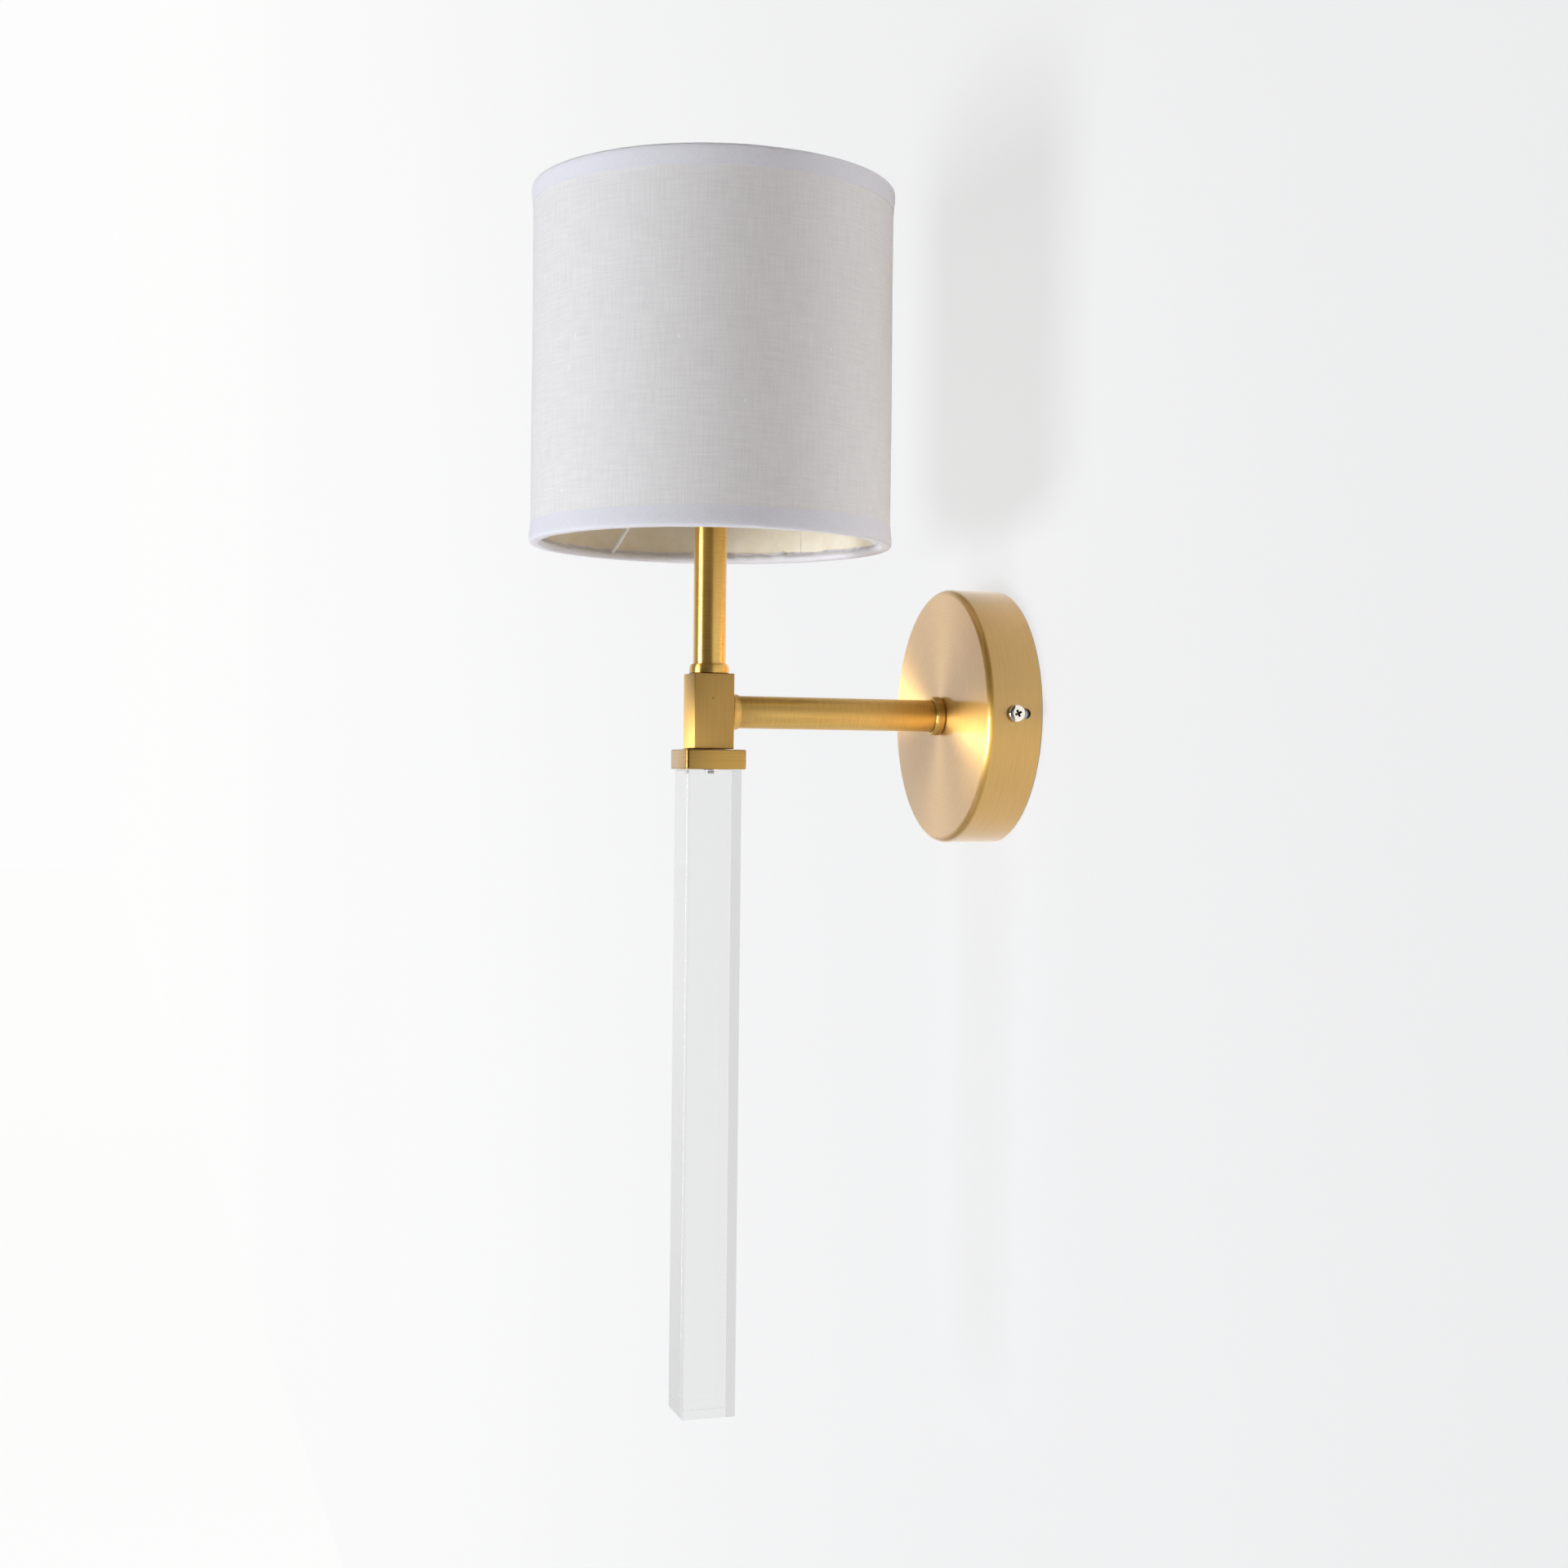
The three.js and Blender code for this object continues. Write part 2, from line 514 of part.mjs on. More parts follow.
function bushSolid() {
  const sleeve = NIPPLE_BORE_RADIUS - FIT_GAP;
  const bore = sleeve - BUSH_WALL;
  return revolve([
    [bore, 0], [BUSH_FLANGE_RADIUS, 0], [BUSH_FLANGE_RADIUS, BUSH_FLANGE_THICKNESS],
    [sleeve, BUSH_FLANGE_THICKNESS], [sleeve, BUSH_LENGTH], [bore, BUSH_LENGTH],
  ], COARSE);
}

// Flat ring collar with a bevel on both outer edges; its web is at z = 0
function canopyCollarSolid() {
  const [r, bevel, length] = [CANOPY_COLLAR_RADIUS, CANOPY_COLLAR_BEVEL, CANOPY_COLLAR_LENGTH];
  return revolve([
    [NIPPLE_HOLE_RADIUS, 0], [r - bevel, 0], [r, bevel], [r, length - bevel],
    [r - bevel, length], [TUBE_SOCKET_RADIUS, length], [TUBE_SOCKET_RADIUS, COLLAR_WEB],
    [NIPPLE_HOLE_RADIUS, COLLAR_WEB],
  ]);
}

// Collar that tapers down to the tube; its web is at z = 0
function armCollarSolid() {
  return revolve([
    [NIPPLE_HOLE_RADIUS, 0], [ARM_COLLAR_RADIUS, 0], [ARM_COLLAR_RADIUS, COLLAR_FOOT],
    [TUBE_SOCKET_RADIUS + COLLAR_LIP, ARM_COLLAR_LENGTH], [TUBE_SOCKET_RADIUS, ARM_COLLAR_LENGTH],
    [TUBE_SOCKET_RADIUS, COLLAR_WEB], [NIPPLE_HOLE_RADIUS, COLLAR_WEB],
  ]);
}

// Domed collar; its web is at z = 0
function stemCollarSolid() {
  const lip = TUBE_SOCKET_RADIUS + COLLAR_LIP;
  const rise = STEM_COLLAR_LENGTH - COLLAR_FOOT;
  const dome = arc(0, 0, 1, 0, 90, 4).map(([c, s]) => [
    lip + (STEM_COLLAR_RADIUS - lip) * c, COLLAR_FOOT + rise * s,
  ]);
  return revolve([
    [NIPPLE_HOLE_RADIUS, 0], [STEM_COLLAR_RADIUS, 0], ...dome,
    [TUBE_SOCKET_RADIUS, STEM_COLLAR_LENGTH], [TUBE_SOCKET_RADIUS, COLLAR_WEB],
    [NIPPLE_HOLE_RADIUS, COLLAR_WEB],
  ]);
}

// Tube from z = 0, with a bush of smaller bore in each end
function tubeSolid(length) {
  const [r, cut, bush] = [TUBE_RADIUS, TUBE_END_CHAMFER, TUBE_BUSH_LENGTH];
  return revolve([
    [NIPPLE_HOLE_RADIUS, 0], [r - cut, 0], [r, cut], [r, length - cut], [r - cut, length],
    [NIPPLE_HOLE_RADIUS, length], [NIPPLE_HOLE_RADIUS, length - bush],
    [TUBE_BORE_RADIUS, length - bush], [TUBE_BORE_RADIUS, bush], [NIPPLE_HOLE_RADIUS, bush],
  ]);
}

function addCanopyScrew(parent, name, side) {
  const mesh = addMesh(parent, name, panScrew(CANOPY_SCREW_LENGTH), 'nickel');
  mesh.rotation.y = (side * Math.PI) / 2;
  mesh.position.set(side * (CANOPY_RADIUS + SEAT_GAP), 0, CANOPY_SCREW_FROM_WALL);
}

function buildWallEnd() {
  const wallEnd = new THREE.Group();
  wallEnd.rotation.x = Math.PI / 2;
  addMesh(wallEnd, 'wall_bracket', bracketSolid(), 'steel');
  addMesh(wallEnd, 'canopy', canopySolid(), 'canopy');
  addCanopyScrew(wallEnd, 'canopy_screw_right', 1);
  addCanopyScrew(wallEnd, 'canopy_screw_left', -1);

  const terminals = new THREE.Group();
  terminals.position.set(TERMINAL_FROM_CENTRE, 0, BRACKET_THICKNESS + SEAT_GAP);
  addMesh(terminals, 'terminal_block', terminalBlockSolid(), 'nylon');
  addTerminalScrews(terminals);
  wallEnd.add(terminals);

  const earthScrew = addMesh(wallEnd, 'earth_screw',
    panScrew(BRACKET_THICKNESS + EARTH_TAG_THICKNESS), 'nickel');
  earthScrew.position.set(
    -EARTH_SCREW_FROM_CENTRE, 0, BRACKET_THICKNESS + 2 * SEAT_GAP + EARTH_TAG_THICKNESS);

  const washer = ring(LOCK_WASHER_RADIUS, NIPPLE_HOLE_RADIUS, 0, LOCK_WASHER_THICKNESS, COARSE);
  addMesh(wallEnd, 'lock_washer', washer, 'steel').position.z = LOCK_WASHER_START;
  addMesh(wallEnd, 'lock_nut', lockNutSolid(), 'brass').position.z = LOCK_NUT_START;
  const nippleEnd = ARM_START + NIPPLE_DEPTH_IN_TUBE;
  addMesh(wallEnd, 'canopy_nipple', nippleSolid(nippleEnd - CANOPY_NIPPLE_START), 'copper')
    .position.z = CANOPY_NIPPLE_START;
  addMesh(wallEnd, 'lead_bush', bushSolid(), 'nylon')
    .position.z = CANOPY_NIPPLE_START - SEAT_GAP - BUSH_FLANGE_THICKNESS;

  addMesh(wallEnd, 'canopy_collar', canopyCollarSolid(), 'brass')
    .position.z = CANOPY_DEPTH + SEAT_GAP;
  addMesh(wallEnd, 'arm_tube', tubeSolid(ARM_END - ARM_START), 'brass').position.z = ARM_START;
  const armCollar = addMesh(wallEnd, 'arm_collar', armCollarSolid(), 'brass');
  armCollar.rotation.x = Math.PI;
  armCollar.position.z = BLOCK_FACE - SEAT_GAP;
  const armNippleStart = ARM_END - NIPPLE_DEPTH_IN_TUBE;
  const armNippleEnd = REACH - NIPPLE_END_IN_BLOCK;
  addMesh(wallEnd, 'arm_nipple', nippleSolid(armNippleEnd - armNippleStart), 'copper')
    .position.z = armNippleStart;
  return wallEnd;
}

// ---------------------------------------------------------------- block, rod and stem

// In these frames Z is up and the origin is where the arm's axis meets the stem's.

function blockSolid() {
  const half = BLOCK_HEIGHT / 2;
  const block = solidOf(squarePrism(BLOCK_WIDTH, BLOCK_HEIGHT, BLOCK_CORNER, BLOCK_EDGE)
    .translate(0, 0, -half));
  const chamber = NIPPLE_HOLE_RADIUS;
  const armBore = cylinder(chamber, BLOCK_WIDTH + chamber, COARSE)
    .rotateX(-Math.PI / 2).translate(0, -chamber, 0);
  const stemBore = cylinder(chamber, half + 2 * chamber, COARSE).translate(0, 0, -chamber);
  const studHole = cylinder(STUD_RADIUS + FIT_GAP, half)
    .translate(0, 0, -half - half + STUD_DEPTH_IN_BLOCK + SEAT_GAP);
  return block.subtract(solidOf(armBore)).subtract(solidOf(stemBore))
    .subtract(solidOf(studHole));
}

function rodCapSolid() {
  const cap = solidOf(squarePrism(CAP_WIDTH, CAP_HEIGHT, CAP_CORNER, CAP_EDGE));
  const hole = cylinder(STUD_RADIUS + FIT_GAP, CAP_HEIGHT * 3).translate(0, 0, -CAP_HEIGHT);
  return cap.subtract(solidOf(hole));
}

function clearRodSolid() {
  const rod = solidOf(squarePrism(ROD_WIDTH, ROD_LENGTH, ROD_CORNER, ROD_EDGE));
  const depth = STUD_DEPTH_IN_ROD + SEAT_GAP;
  const hole = cylinder(STUD_RADIUS + FIT_GAP, depth * 2);
  return rod.subtract(solidOf(hole.translate(0, 0, ROD_LENGTH - depth)));
}

function studSolid(length) {
  const [r, cut] = [STUD_RADIUS, STUD_CHAMFER];
  return revolve([
    [0, 0], [r - cut, 0], [r, cut], [r, length - cut], [r - cut, length], [0, length],
  ], SMALL);
}

function addBlockAndRod(head) {
  addMesh(head, 'corner_block', blockSolid(), 'brass');
  addMesh(head, 'rod_cap', rodCapSolid(), 'brass').position.z = CAP_TOP - CAP_HEIGHT;
  addMesh(head, 'clear_rod', clearRodSolid(), 'acrylic').position.z = ROD_TOP - ROD_LENGTH;
  const studTop = -BLOCK_HEIGHT / 2 + STUD_DEPTH_IN_BLOCK;
  const studBottom = ROD_TOP - STUD_DEPTH_IN_ROD;
  addMesh(head, 'rod_stud', studSolid(studTop - studBottom), 'steel').position.z = studBottom;
}

function addStem(head) {
  addMesh(head, 'stem_collar', stemCollarSolid(), 'brass')
    .position.z = BLOCK_HEIGHT / 2 + SEAT_GAP;
  addMesh(head, 'stem_tube', tubeSolid(STEM_TUBE_LENGTH), 'brass').position.z = STEM_START;
  const lowerEnd = STEM_START + NIPPLE_DEPTH_IN_TUBE;
  addMesh(head, 'stem_nipple', nippleSolid(lowerEnd - NIPPLE_END_IN_BLOCK), 'copper')
    .position.z = NIPPLE_END_IN_BLOCK;
  const upperStart = STEM_END - NIPPLE_DEPTH_IN_TUBE;
  const upperEnd = HOLDER_START + HOLDER_BASE_FLOOR + NIPPLE_PAST_FLOOR;
  addMesh(head, 'holder_nipple', nippleSolid(upperEnd - upperStart), 'copper')
    .position.z = upperStart;
}

// ---------------------------------------------------------------- lampholder

function holderBaseSolid() {
  const [r, wall, height] = [HOLDER_RADIUS, HOLDER_WALL, HOLDER_BASE_HEIGHT];
  const [neck, bowl] = [HOLDER_NECK_RADIUS, -HOLDER_BOWL_DEGREES];
  const rim = height - HOLDER_BASE_RIM;
  return revolve([
    [NIPPLE_HOLE_RADIUS, 0], [neck, 0], [neck, HOLDER_NECK_HEIGHT],
    ...arc(neck, rim, r - neck, bowl, 0, 3), [r, height],
    [r - wall, height], ...arc(neck, rim, r - neck - wall, 0, bowl, 3),
    [NIPPLE_HOLE_RADIUS, HOLDER_BASE_FLOOR],
  ]);
}

function holderBodySolid() {
  const shoulder = HOLDER_SHOULDER_HEIGHT;
  const bore = SKIRT_RADIUS - HOLDER_WALL;
  const under = shoulder - HOLDER_SHOULDER_THICKNESS;
  const cut = SKIRT_CHAMFER;
  return revolve([
    [CORE_LEDGE_RADIUS, 0], [HOLDER_RADIUS, 0], [HOLDER_RADIUS, under],
    [HOLDER_SHOULDER_RADIUS, under], [HOLDER_SHOULDER_RADIUS, shoulder],
    [SKIRT_RADIUS, shoulder], [SKIRT_RADIUS, HOLDER_BODY_HEIGHT - cut],
    [SKIRT_RADIUS - cut, HOLDER_BODY_HEIGHT], [bore, HOLDER_BODY_HEIGHT],
    [bore, CORE_LEDGE], [CORE_LEDGE_RADIUS, CORE_LEDGE],
  ]);
}

function holderCoreSolid() {
  const outer = SKIRT_RADIUS - HOLDER_WALL - FIT_GAP;
  return ring(outer, TONGUE_STEM_RADIUS + FIT_GAP, 0, CORE_THICKNESS, COARSE);
}

function screwShellSolid() {
  const [bore, wall] = [SHELL_BORE_RADIUS, SHELL_WALL];
  return revolve([
    [SHELL_FLOOR_HOLE_RADIUS, 0], [bore + wall, 0], [bore + wall, SHELL_HEIGHT],
    [bore, SHELL_HEIGHT], [bore, wall], [SHELL_FLOOR_HOLE_RADIUS, wall],
  ]);
}

function tongueSolid() {
  const [head, stem, top] = [TONGUE_RADIUS, TONGUE_STEM_RADIUS, TONGUE_STEM_LENGTH];
  return revolve([
    [0, 0], [stem, 0], [stem, top], [head, top], [head, top + TONGUE_THICKNESS],
    [0, top + TONGUE_THICKNESS],
  ], COARSE);
}

// Clamp on its own axis, with the lead's hole in its underside
function clampSolid() {
  const [x, y, z] = CLAMP_SIZE;
  const screw = cylinder(CLAMP_SCREW_RADIUS, CLAMP_SCREW_LENGTH + CLAMP_SCREW_PROUD)
    .rotateX(Math.PI / 2).translate(0, -y / 2 + CLAMP_SCREW_LENGTH, 0);
  const hole = cylinder(LEAD_RADIUS + FIT_GAP, z).translate(0, 0, -z);
  return solidOf(box(x, y, z)).add(solidOf(screw)).subtract(solidOf(hole));
}

function addHolder(head) {
  addMesh(head, 'holder_base', holderBaseSolid(), 'phenolic').position.z = HOLDER_START;
  addMesh(head, 'holder_body', holderBodySolid(), 'phenolic').position.z = HOLDER_BODY_START;
  addMesh(head, 'holder_core', holderCoreSolid(), 'porcelain').position.z = CORE_START;
  addMesh(head, 'holder_screw_shell', screwShellSolid(), 'nickel').position.z = SHELL_START;
  addMesh(head, 'holder_centre_contact', tongueSolid(), 'copper')
    .position.z = CORE_TOP + TONGUE_LIFT - TONGUE_STEM_LENGTH;
  for (const [name, side] of [['holder_clamp_right', 1], ['holder_clamp_left', -1]]) {
    addMesh(head, name, clampSolid(), 'copper')
      .position.set(side * CLAMP_FROM_CENTRE, 0, CORE_START - SEAT_GAP - CLAMP_SIZE[2] / 2);
  }
}

// ---------------------------------------------------------------- bulb

// The bulb's own frame starts at the tip of its end contact.
const BULB_INSULATOR_START = BULB_CONTACT_THICKNESS + SEAT_GAP;
const BULB_CAP_START = BULB_INSULATOR_START + BULB_INSULATOR_HEIGHT + SEAT_GAP;
const BULB_THREAD_LENGTH = BULB_THREAD_PITCH * BULB_THREAD_TURNS;
const BULB_CAP_TOP = BULB_CAP_START + BULB_THREAD_LENGTH + BULB_CAP_TOP_LENGTH;

function bulbContactSolid() {
  const [radius, thickness] = [BULB_CONTACT_RADIUS, BULB_CONTACT_THICKNESS];
  const tip = BULB_CONTACT_CURVE.map(([r, z]) => [radius * r, thickness * z]);
  return revolve([[0, 0], ...tip, [radius, thickness], [0, thickness]], COARSE);
}

function bulbInsulatorSolid() {
  const top = BULB_INSULATOR_HEIGHT;
  const foot = BULB_CONTACT_RADIUS + BULB_INSULATOR_MARGIN;
  const rim = BULB_CAP_FOOT_RADIUS - BULB_INSULATOR_MARGIN;
  return revolve([
    [0, 0], [foot, 0], [rim, top - BULB_INSULATOR_EDGE], [rim, top], [0, top],
  ], COARSE);
}

// Thread as rings of the true pitch, open at both ends
function bulbCapSolid() {
  const [crest, root, pitch] = [BULB_THREAD_RADIUS, BULB_THREAD_ROOT, BULB_THREAD_PITCH];
  const [crestStart, crestEnd] = BULB_THREAD_CREST;
  const length = BULB_THREAD_LENGTH + BULB_CAP_TOP_LENGTH;
  const bore = root - BULB_CAP_WALL;
  const outside = [[BULB_CAP_FOOT_RADIUS, 0], [root, BULB_CAP_FOOT_HEIGHT]];
  for (let turn = 0; turn < BULB_THREAD_TURNS; turn += 1) {
    outside.push([crest, (turn + crestStart) * pitch], [crest, (turn + crestEnd) * pitch]);
    outside.push([root, (turn + 1) * pitch]);
  }
  outside.push([root + BULB_CAP_RIM_FLARE, length]);
  return revolve([
    ...outside, [bore, length], [bore, BULB_CAP_FLOOR], [BULB_CAP_FOOT_RADIUS - BULB_CAP_WALL, 0],
  ], COARSE);
}

function bulbGlassSolid() {
  const wall = BULB_GLASS_WALL;
  const neck = BULB_NECK_RADIUS;
  const mouth = BULB_NECK_IN_CAP + BULB_NECK_LENGTH;
  const start = -Math.acos(neck / BULB_GLOBE_RADIUS) * THREE.MathUtils.RAD2DEG;
  const centre = mouth - BULB_GLOBE_RADIUS * Math.sin(THREE.MathUtils.degToRad(start));
  return revolve([
    [neck, 0],
    ...arc(0, centre, BULB_GLOBE_RADIUS, start, 90, 8),
    ...arc(0, centre, BULB_GLOBE_RADIUS - wall, 90, start + 1, 7),
    [neck - wall, 0],
  ]);
}

function buildBulb() {
  const bulb = new THREE.Group();
  bulb.position.z = BULB_START;
  addMesh(bulb, 'bulb_end_contact', bulbContactSolid(), 'nickel');
  addMesh(bulb, 'bulb_insulator', bulbInsulatorSolid(), 'blackGlass')
    .position.z = BULB_INSULATOR_START;
  addMesh(bulb, 'bulb_cap', bulbCapSolid(), 'nickel').position.z = BULB_CAP_START;
  addMesh(bulb, 'bulb_glass', bulbGlassSolid(), 'opal').position.z =
    BULB_CAP_TOP - BULB_NECK_IN_CAP;
  return bulb;
}

// ---------------------------------------------------------------- shade

function ringNutSolid() {
  const shape = new THREE.Shape();
  const count = RING_NUT_GRIPS * 4;
  for (let i = 0; i < count; i += 1) {
    const inGroove = i % 4 === 0;
    const r = RING_NUT_RADIUS - (inGroove ? RING_NUT_GRIP_DEPTH : 0);
    const angle = (i / count) * Math.PI * 2;
    const point = [r * Math.cos(angle), r * Math.sin(angle)];
    if (i === 0) shape.moveTo(...point);
    else shape.lineTo(...point);
  }
  const nut = new THREE.ExtrudeGeometry(shape, { depth: RING_NUT_HEIGHT, bevelEnabled: false });
  const bore = cylinder(SKIRT_RADIUS + FIT_GAP, RING_NUT_HEIGHT * 3, MEDIUM);
  return solidOf(nut).subtract(solidOf(bore.translate(0, 0, -RING_NUT_HEIGHT)));
}

// The spoke's centre line, from under the fitter ring down to the bottom ring
function spokeLine(index) {
  const angle = THREE.MathUtils.degToRad(SPOKE_FIRST_ANGLE + (360 / SPOKE_COUNT) * index);
  const outward = new THREE.Vector3(Math.cos(angle), Math.sin(angle), 0);
  const top = outward.clone().multiplyScalar(FITTER_RADIUS - SPOKE_ON_FITTER);
  top.z = FITTER_START - SPOKE_WIRE_RADIUS / 2;
  const foot = outward.clone().multiplyScalar(RING_RADIUS);
  foot.z = BOTTOM_RING_HEIGHT;
  const along = foot.clone().sub(top).normalize();
  return { top, foot, along };
}

function spiderSolid() {
  const inner = SKIRT_RADIUS + FIT_GAP;
  let spider = ring(FITTER_RADIUS, inner, FITTER_START, FITTER_START + FITTER_THICKNESS, MEDIUM);
  for (let i = 0; i < SPOKE_COUNT; i += 1) {
    const { top, foot, along } = spokeLine(i);
    const end = foot.clone().addScaledVector(along, -(RING_WIRE_RADIUS + SEAT_GAP));
    spider = spider.add(solidOf(bar(top, end, SPOKE_WIRE_RADIUS)));
  }
  return spider;
}

function wireRingSolid(height) {
  return revolve(arc(RING_RADIUS, height, RING_WIRE_RADIUS, 0, 360 - 360 / WIRE_SIDES,
    WIRE_SIDES - 1), WIDE);
}

// Tape folded over an edge of the shade and the wire ring inside it. The fold
// is at edge, and the leaves run along Z in the direction of side.
function trimSolid(edge, side) {
  const outside = SHADE_RADIUS + FIT_GAP + TRIM_THICKNESS;
  const inside = RING_RADIUS - RING_WIRE_RADIUS - FIT_GAP - TRIM_THICKNESS;
  const profile = [
    [inside, edge],
    [outside, edge],
    [outside, edge + side * TRIM_OUTER_WIDTH],
    [outside - TRIM_THICKNESS, edge + side * TRIM_OUTER_WIDTH],
    [outside - TRIM_THICKNESS, edge + side * TRIM_THICKNESS],
    [inside + TRIM_THICKNESS, edge + side * TRIM_THICKNESS],
    [inside + TRIM_THICKNESS, edge + side * TRIM_INNER_WIDTH],
    [inside, edge + side * TRIM_INNER_WIDTH],
  ];
  return revolve(side > 0 ? profile : profile.reverse(), WIDE);
}

function bottomTrimSolid() {
  let trim = trimSolid(SHADE_BOTTOM, 1);
  for (let i = 0; i < SPOKE_COUNT; i += 1) {
    const { foot, along } = spokeLine(i);
    const before = foot.clone().addScaledVector(along, -SPOKE_NOTCH_LENGTH);
    trim = trim.subtract(solidOf(bar(before, foot, SPOKE_WIRE_RADIUS + SPOKE_NOTCH_GAP)));
  }
  return trim;
}

function addShade(head) {
  const skirtBottom = SHADE_BOTTOM + TRIM_THICKNESS + FIT_GAP;
  const skirtTop = SHADE_TOP - TRIM_THICKNESS - FIT_GAP;
  addMesh(head, 'shade_ring_nut', ringNutSolid(), 'phenolic').position.z = RING_NUT_START;
  addMesh(head, 'shade_spider', spiderSolid(), 'enamel');
  addMesh(head, 'shade_bottom_ring', wireRingSolid(BOTTOM_RING_HEIGHT), 'enamel');
  addMesh(head, 'shade_top_ring', wireRingSolid(TOP_RING_HEIGHT), 'enamel');
  addMesh(head, 'shade_fabric',
    ring(SHADE_RADIUS, SHADE_RADIUS - FABRIC_THICKNESS, skirtBottom, skirtTop, FINE), 'linen');
  addMesh(head, 'shade_liner',
    ring(LINER_RADIUS, LINER_RADIUS - LINER_THICKNESS, skirtBottom, skirtTop, FINE), 'styrene');
  addMesh(head, 'shade_top_trim', trimSolid(SHADE_TOP, -1), 'tape');
  addMesh(head, 'shade_bottom_trim', bottomTrimSolid(), 'tape');
}

// ---------------------------------------------------------------- leads

const POLE_Y = -(BRACKET_THICKNESS + SEAT_GAP + TERMINAL_BORE_HEIGHT);
const POLE_Z = LEAD_IN_TERMINAL - TERMINAL_WIDTH / 2;

// The start of a lead in its pole of the terminal block, and its drop from there
function fromPole(pole, drop) {
  const x = TERMINAL_FROM_CENTRE + POLE_PITCH * (pole + 0.5);
  return [[x, POLE_Y, POLE_Z], [x, POLE_Y, POLE_Z - drop]];
}

// A lead from the terminal block, through arm, block and stem, to a clamp of
// the holder. side is +1 or -1 across the centre line.
function lampLeadSolid(inCanopy, side) {
  const x = side * LEAD_OFFSET;
  const clampZ = CORE_START - SEAT_GAP - CLAMP_SIZE[2] + LEAD_IN_CLAMP;
  const [pastMouth, up] = LEAD_AT_NIPPLE;
  return lead([
    ...inCanopy,
    [x, pastMouth - CANOPY_NIPPLE_START, up],
    [x, -ARM_START - LEAD_IN_TUBE_END, 0],
    [x, LEAD_STRAIGHT - REACH, 0],
    ...LEAD_TURN.map(([y, z]) => [x, y - REACH, z]),
    [x, -REACH, LEAD_STRAIGHT],
    [x, -REACH, HOLDER_START - LEAD_BELOW_BASE],
    [x, -REACH, HOLDER_START + LEAD_ABOVE_BASE],
    ...HOLDER_SLACK.map(([inwards, z]) => [
      side * (CLAMP_FROM_CENTRE - inwards), -REACH, HOLDER_START + z,
    ]),
    [side * CLAMP_FROM_CENTRE, -REACH, clampZ],
  ], 54);
}

function earthLeadSolid() {
  const tagX = -EARTH_SCREW_FROM_CENTRE;
  const tagY = -(BRACKET_THICKNESS + SEAT_GAP);
  const tag = ring(EARTH_TAG_RADIUS, SCREW_HOLE_RADIUS, 0, EARTH_TAG_THICKNESS, COARSE)
    .rotate([90, 0, 0]).translate([tagX, tagY, 0]);
  const wire = lead([
    ...fromPole(2, LEAD_DROP),
    ...EARTH_SLACK,
    ...EARTH_END.map(([x, y, z]) => [tagX + x, y, z]),
  ], 20);
  return tag.add(wire);
}

function addLeads(sconce) {
  const live = lampLeadSolid([...fromPole(0, LIVE_LEAD_DROP), ...LIVE_SLACK], 1);
  const neutral = lampLeadSolid([...fromPole(1, LEAD_DROP), ...NEUTRAL_SLACK], -1);
  addMesh(sconce, 'live_lead', live, 'liveSleeve');
  addMesh(sconce, 'neutral_lead', neutral, 'neutralSleeve');
  addMesh(sconce, 'earth_lead', earthLeadSolid(), 'earthSleeve');
}

// ---------------------------------------------------------------- assembly

function buildHead() {
  const head = new THREE.Group();
  head.position.y = -REACH;
  addBlockAndRod(head);
  addStem(head);
  addHolder(head);
  head.add(buildBulb());
  addShade(head);
  return head;
}

const sconce = new THREE.Group();
sconce.add(buildWallEnd());
sconce.add(buildHead());
addLeads(sconce);

export default sconce;
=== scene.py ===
# %% [markdown]
# # Brass wall sconce with a clear rod and a linen drum shade
#
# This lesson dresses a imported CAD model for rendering. The CAD part gives every
# piece its place and its size. Blender adds what a plain solid cannot show:
# rounded edges, threads, brushed metal, woven cloth and clear acrylic. Lengths
# are written in millimetres and turned into metres when a mesh is made.

import math

import bpy
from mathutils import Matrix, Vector


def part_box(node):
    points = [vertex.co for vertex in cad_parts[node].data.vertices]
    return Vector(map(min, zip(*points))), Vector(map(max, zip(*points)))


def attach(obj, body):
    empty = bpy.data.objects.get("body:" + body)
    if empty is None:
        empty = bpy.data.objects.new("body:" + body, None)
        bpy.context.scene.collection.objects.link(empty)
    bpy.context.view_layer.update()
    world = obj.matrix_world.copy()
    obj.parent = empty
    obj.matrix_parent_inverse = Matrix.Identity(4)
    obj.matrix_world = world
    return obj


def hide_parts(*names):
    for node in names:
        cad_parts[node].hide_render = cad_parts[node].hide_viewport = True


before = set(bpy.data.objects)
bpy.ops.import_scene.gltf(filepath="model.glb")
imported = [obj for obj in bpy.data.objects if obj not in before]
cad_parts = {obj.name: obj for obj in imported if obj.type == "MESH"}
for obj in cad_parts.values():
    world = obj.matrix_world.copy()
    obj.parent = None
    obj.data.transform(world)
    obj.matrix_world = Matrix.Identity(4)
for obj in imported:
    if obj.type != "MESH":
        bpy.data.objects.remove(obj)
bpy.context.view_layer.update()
MM = 0.001

# %% [markdown]
# ## The camera
#
# The sconce is seen almost along its wall: the camera stands to the right of it,
# a little out in the room and level with the arm. A 50 mm lens at one metre
# keeps the shade's rims as gentle curves. The camera looks along a direction
# given by yaw and pitch, and is then rolled a little about that direction.

# %% The camera
CAMERA_PLACE = (979.28, -415.13, -31.71)
CAMERA_YAW, CAMERA_PITCH, CAMERA_ROLL = (math.radians(a) for a in (17.66, -0.07, 0.6))
LENS, SENSOR = 50.77, 36.0

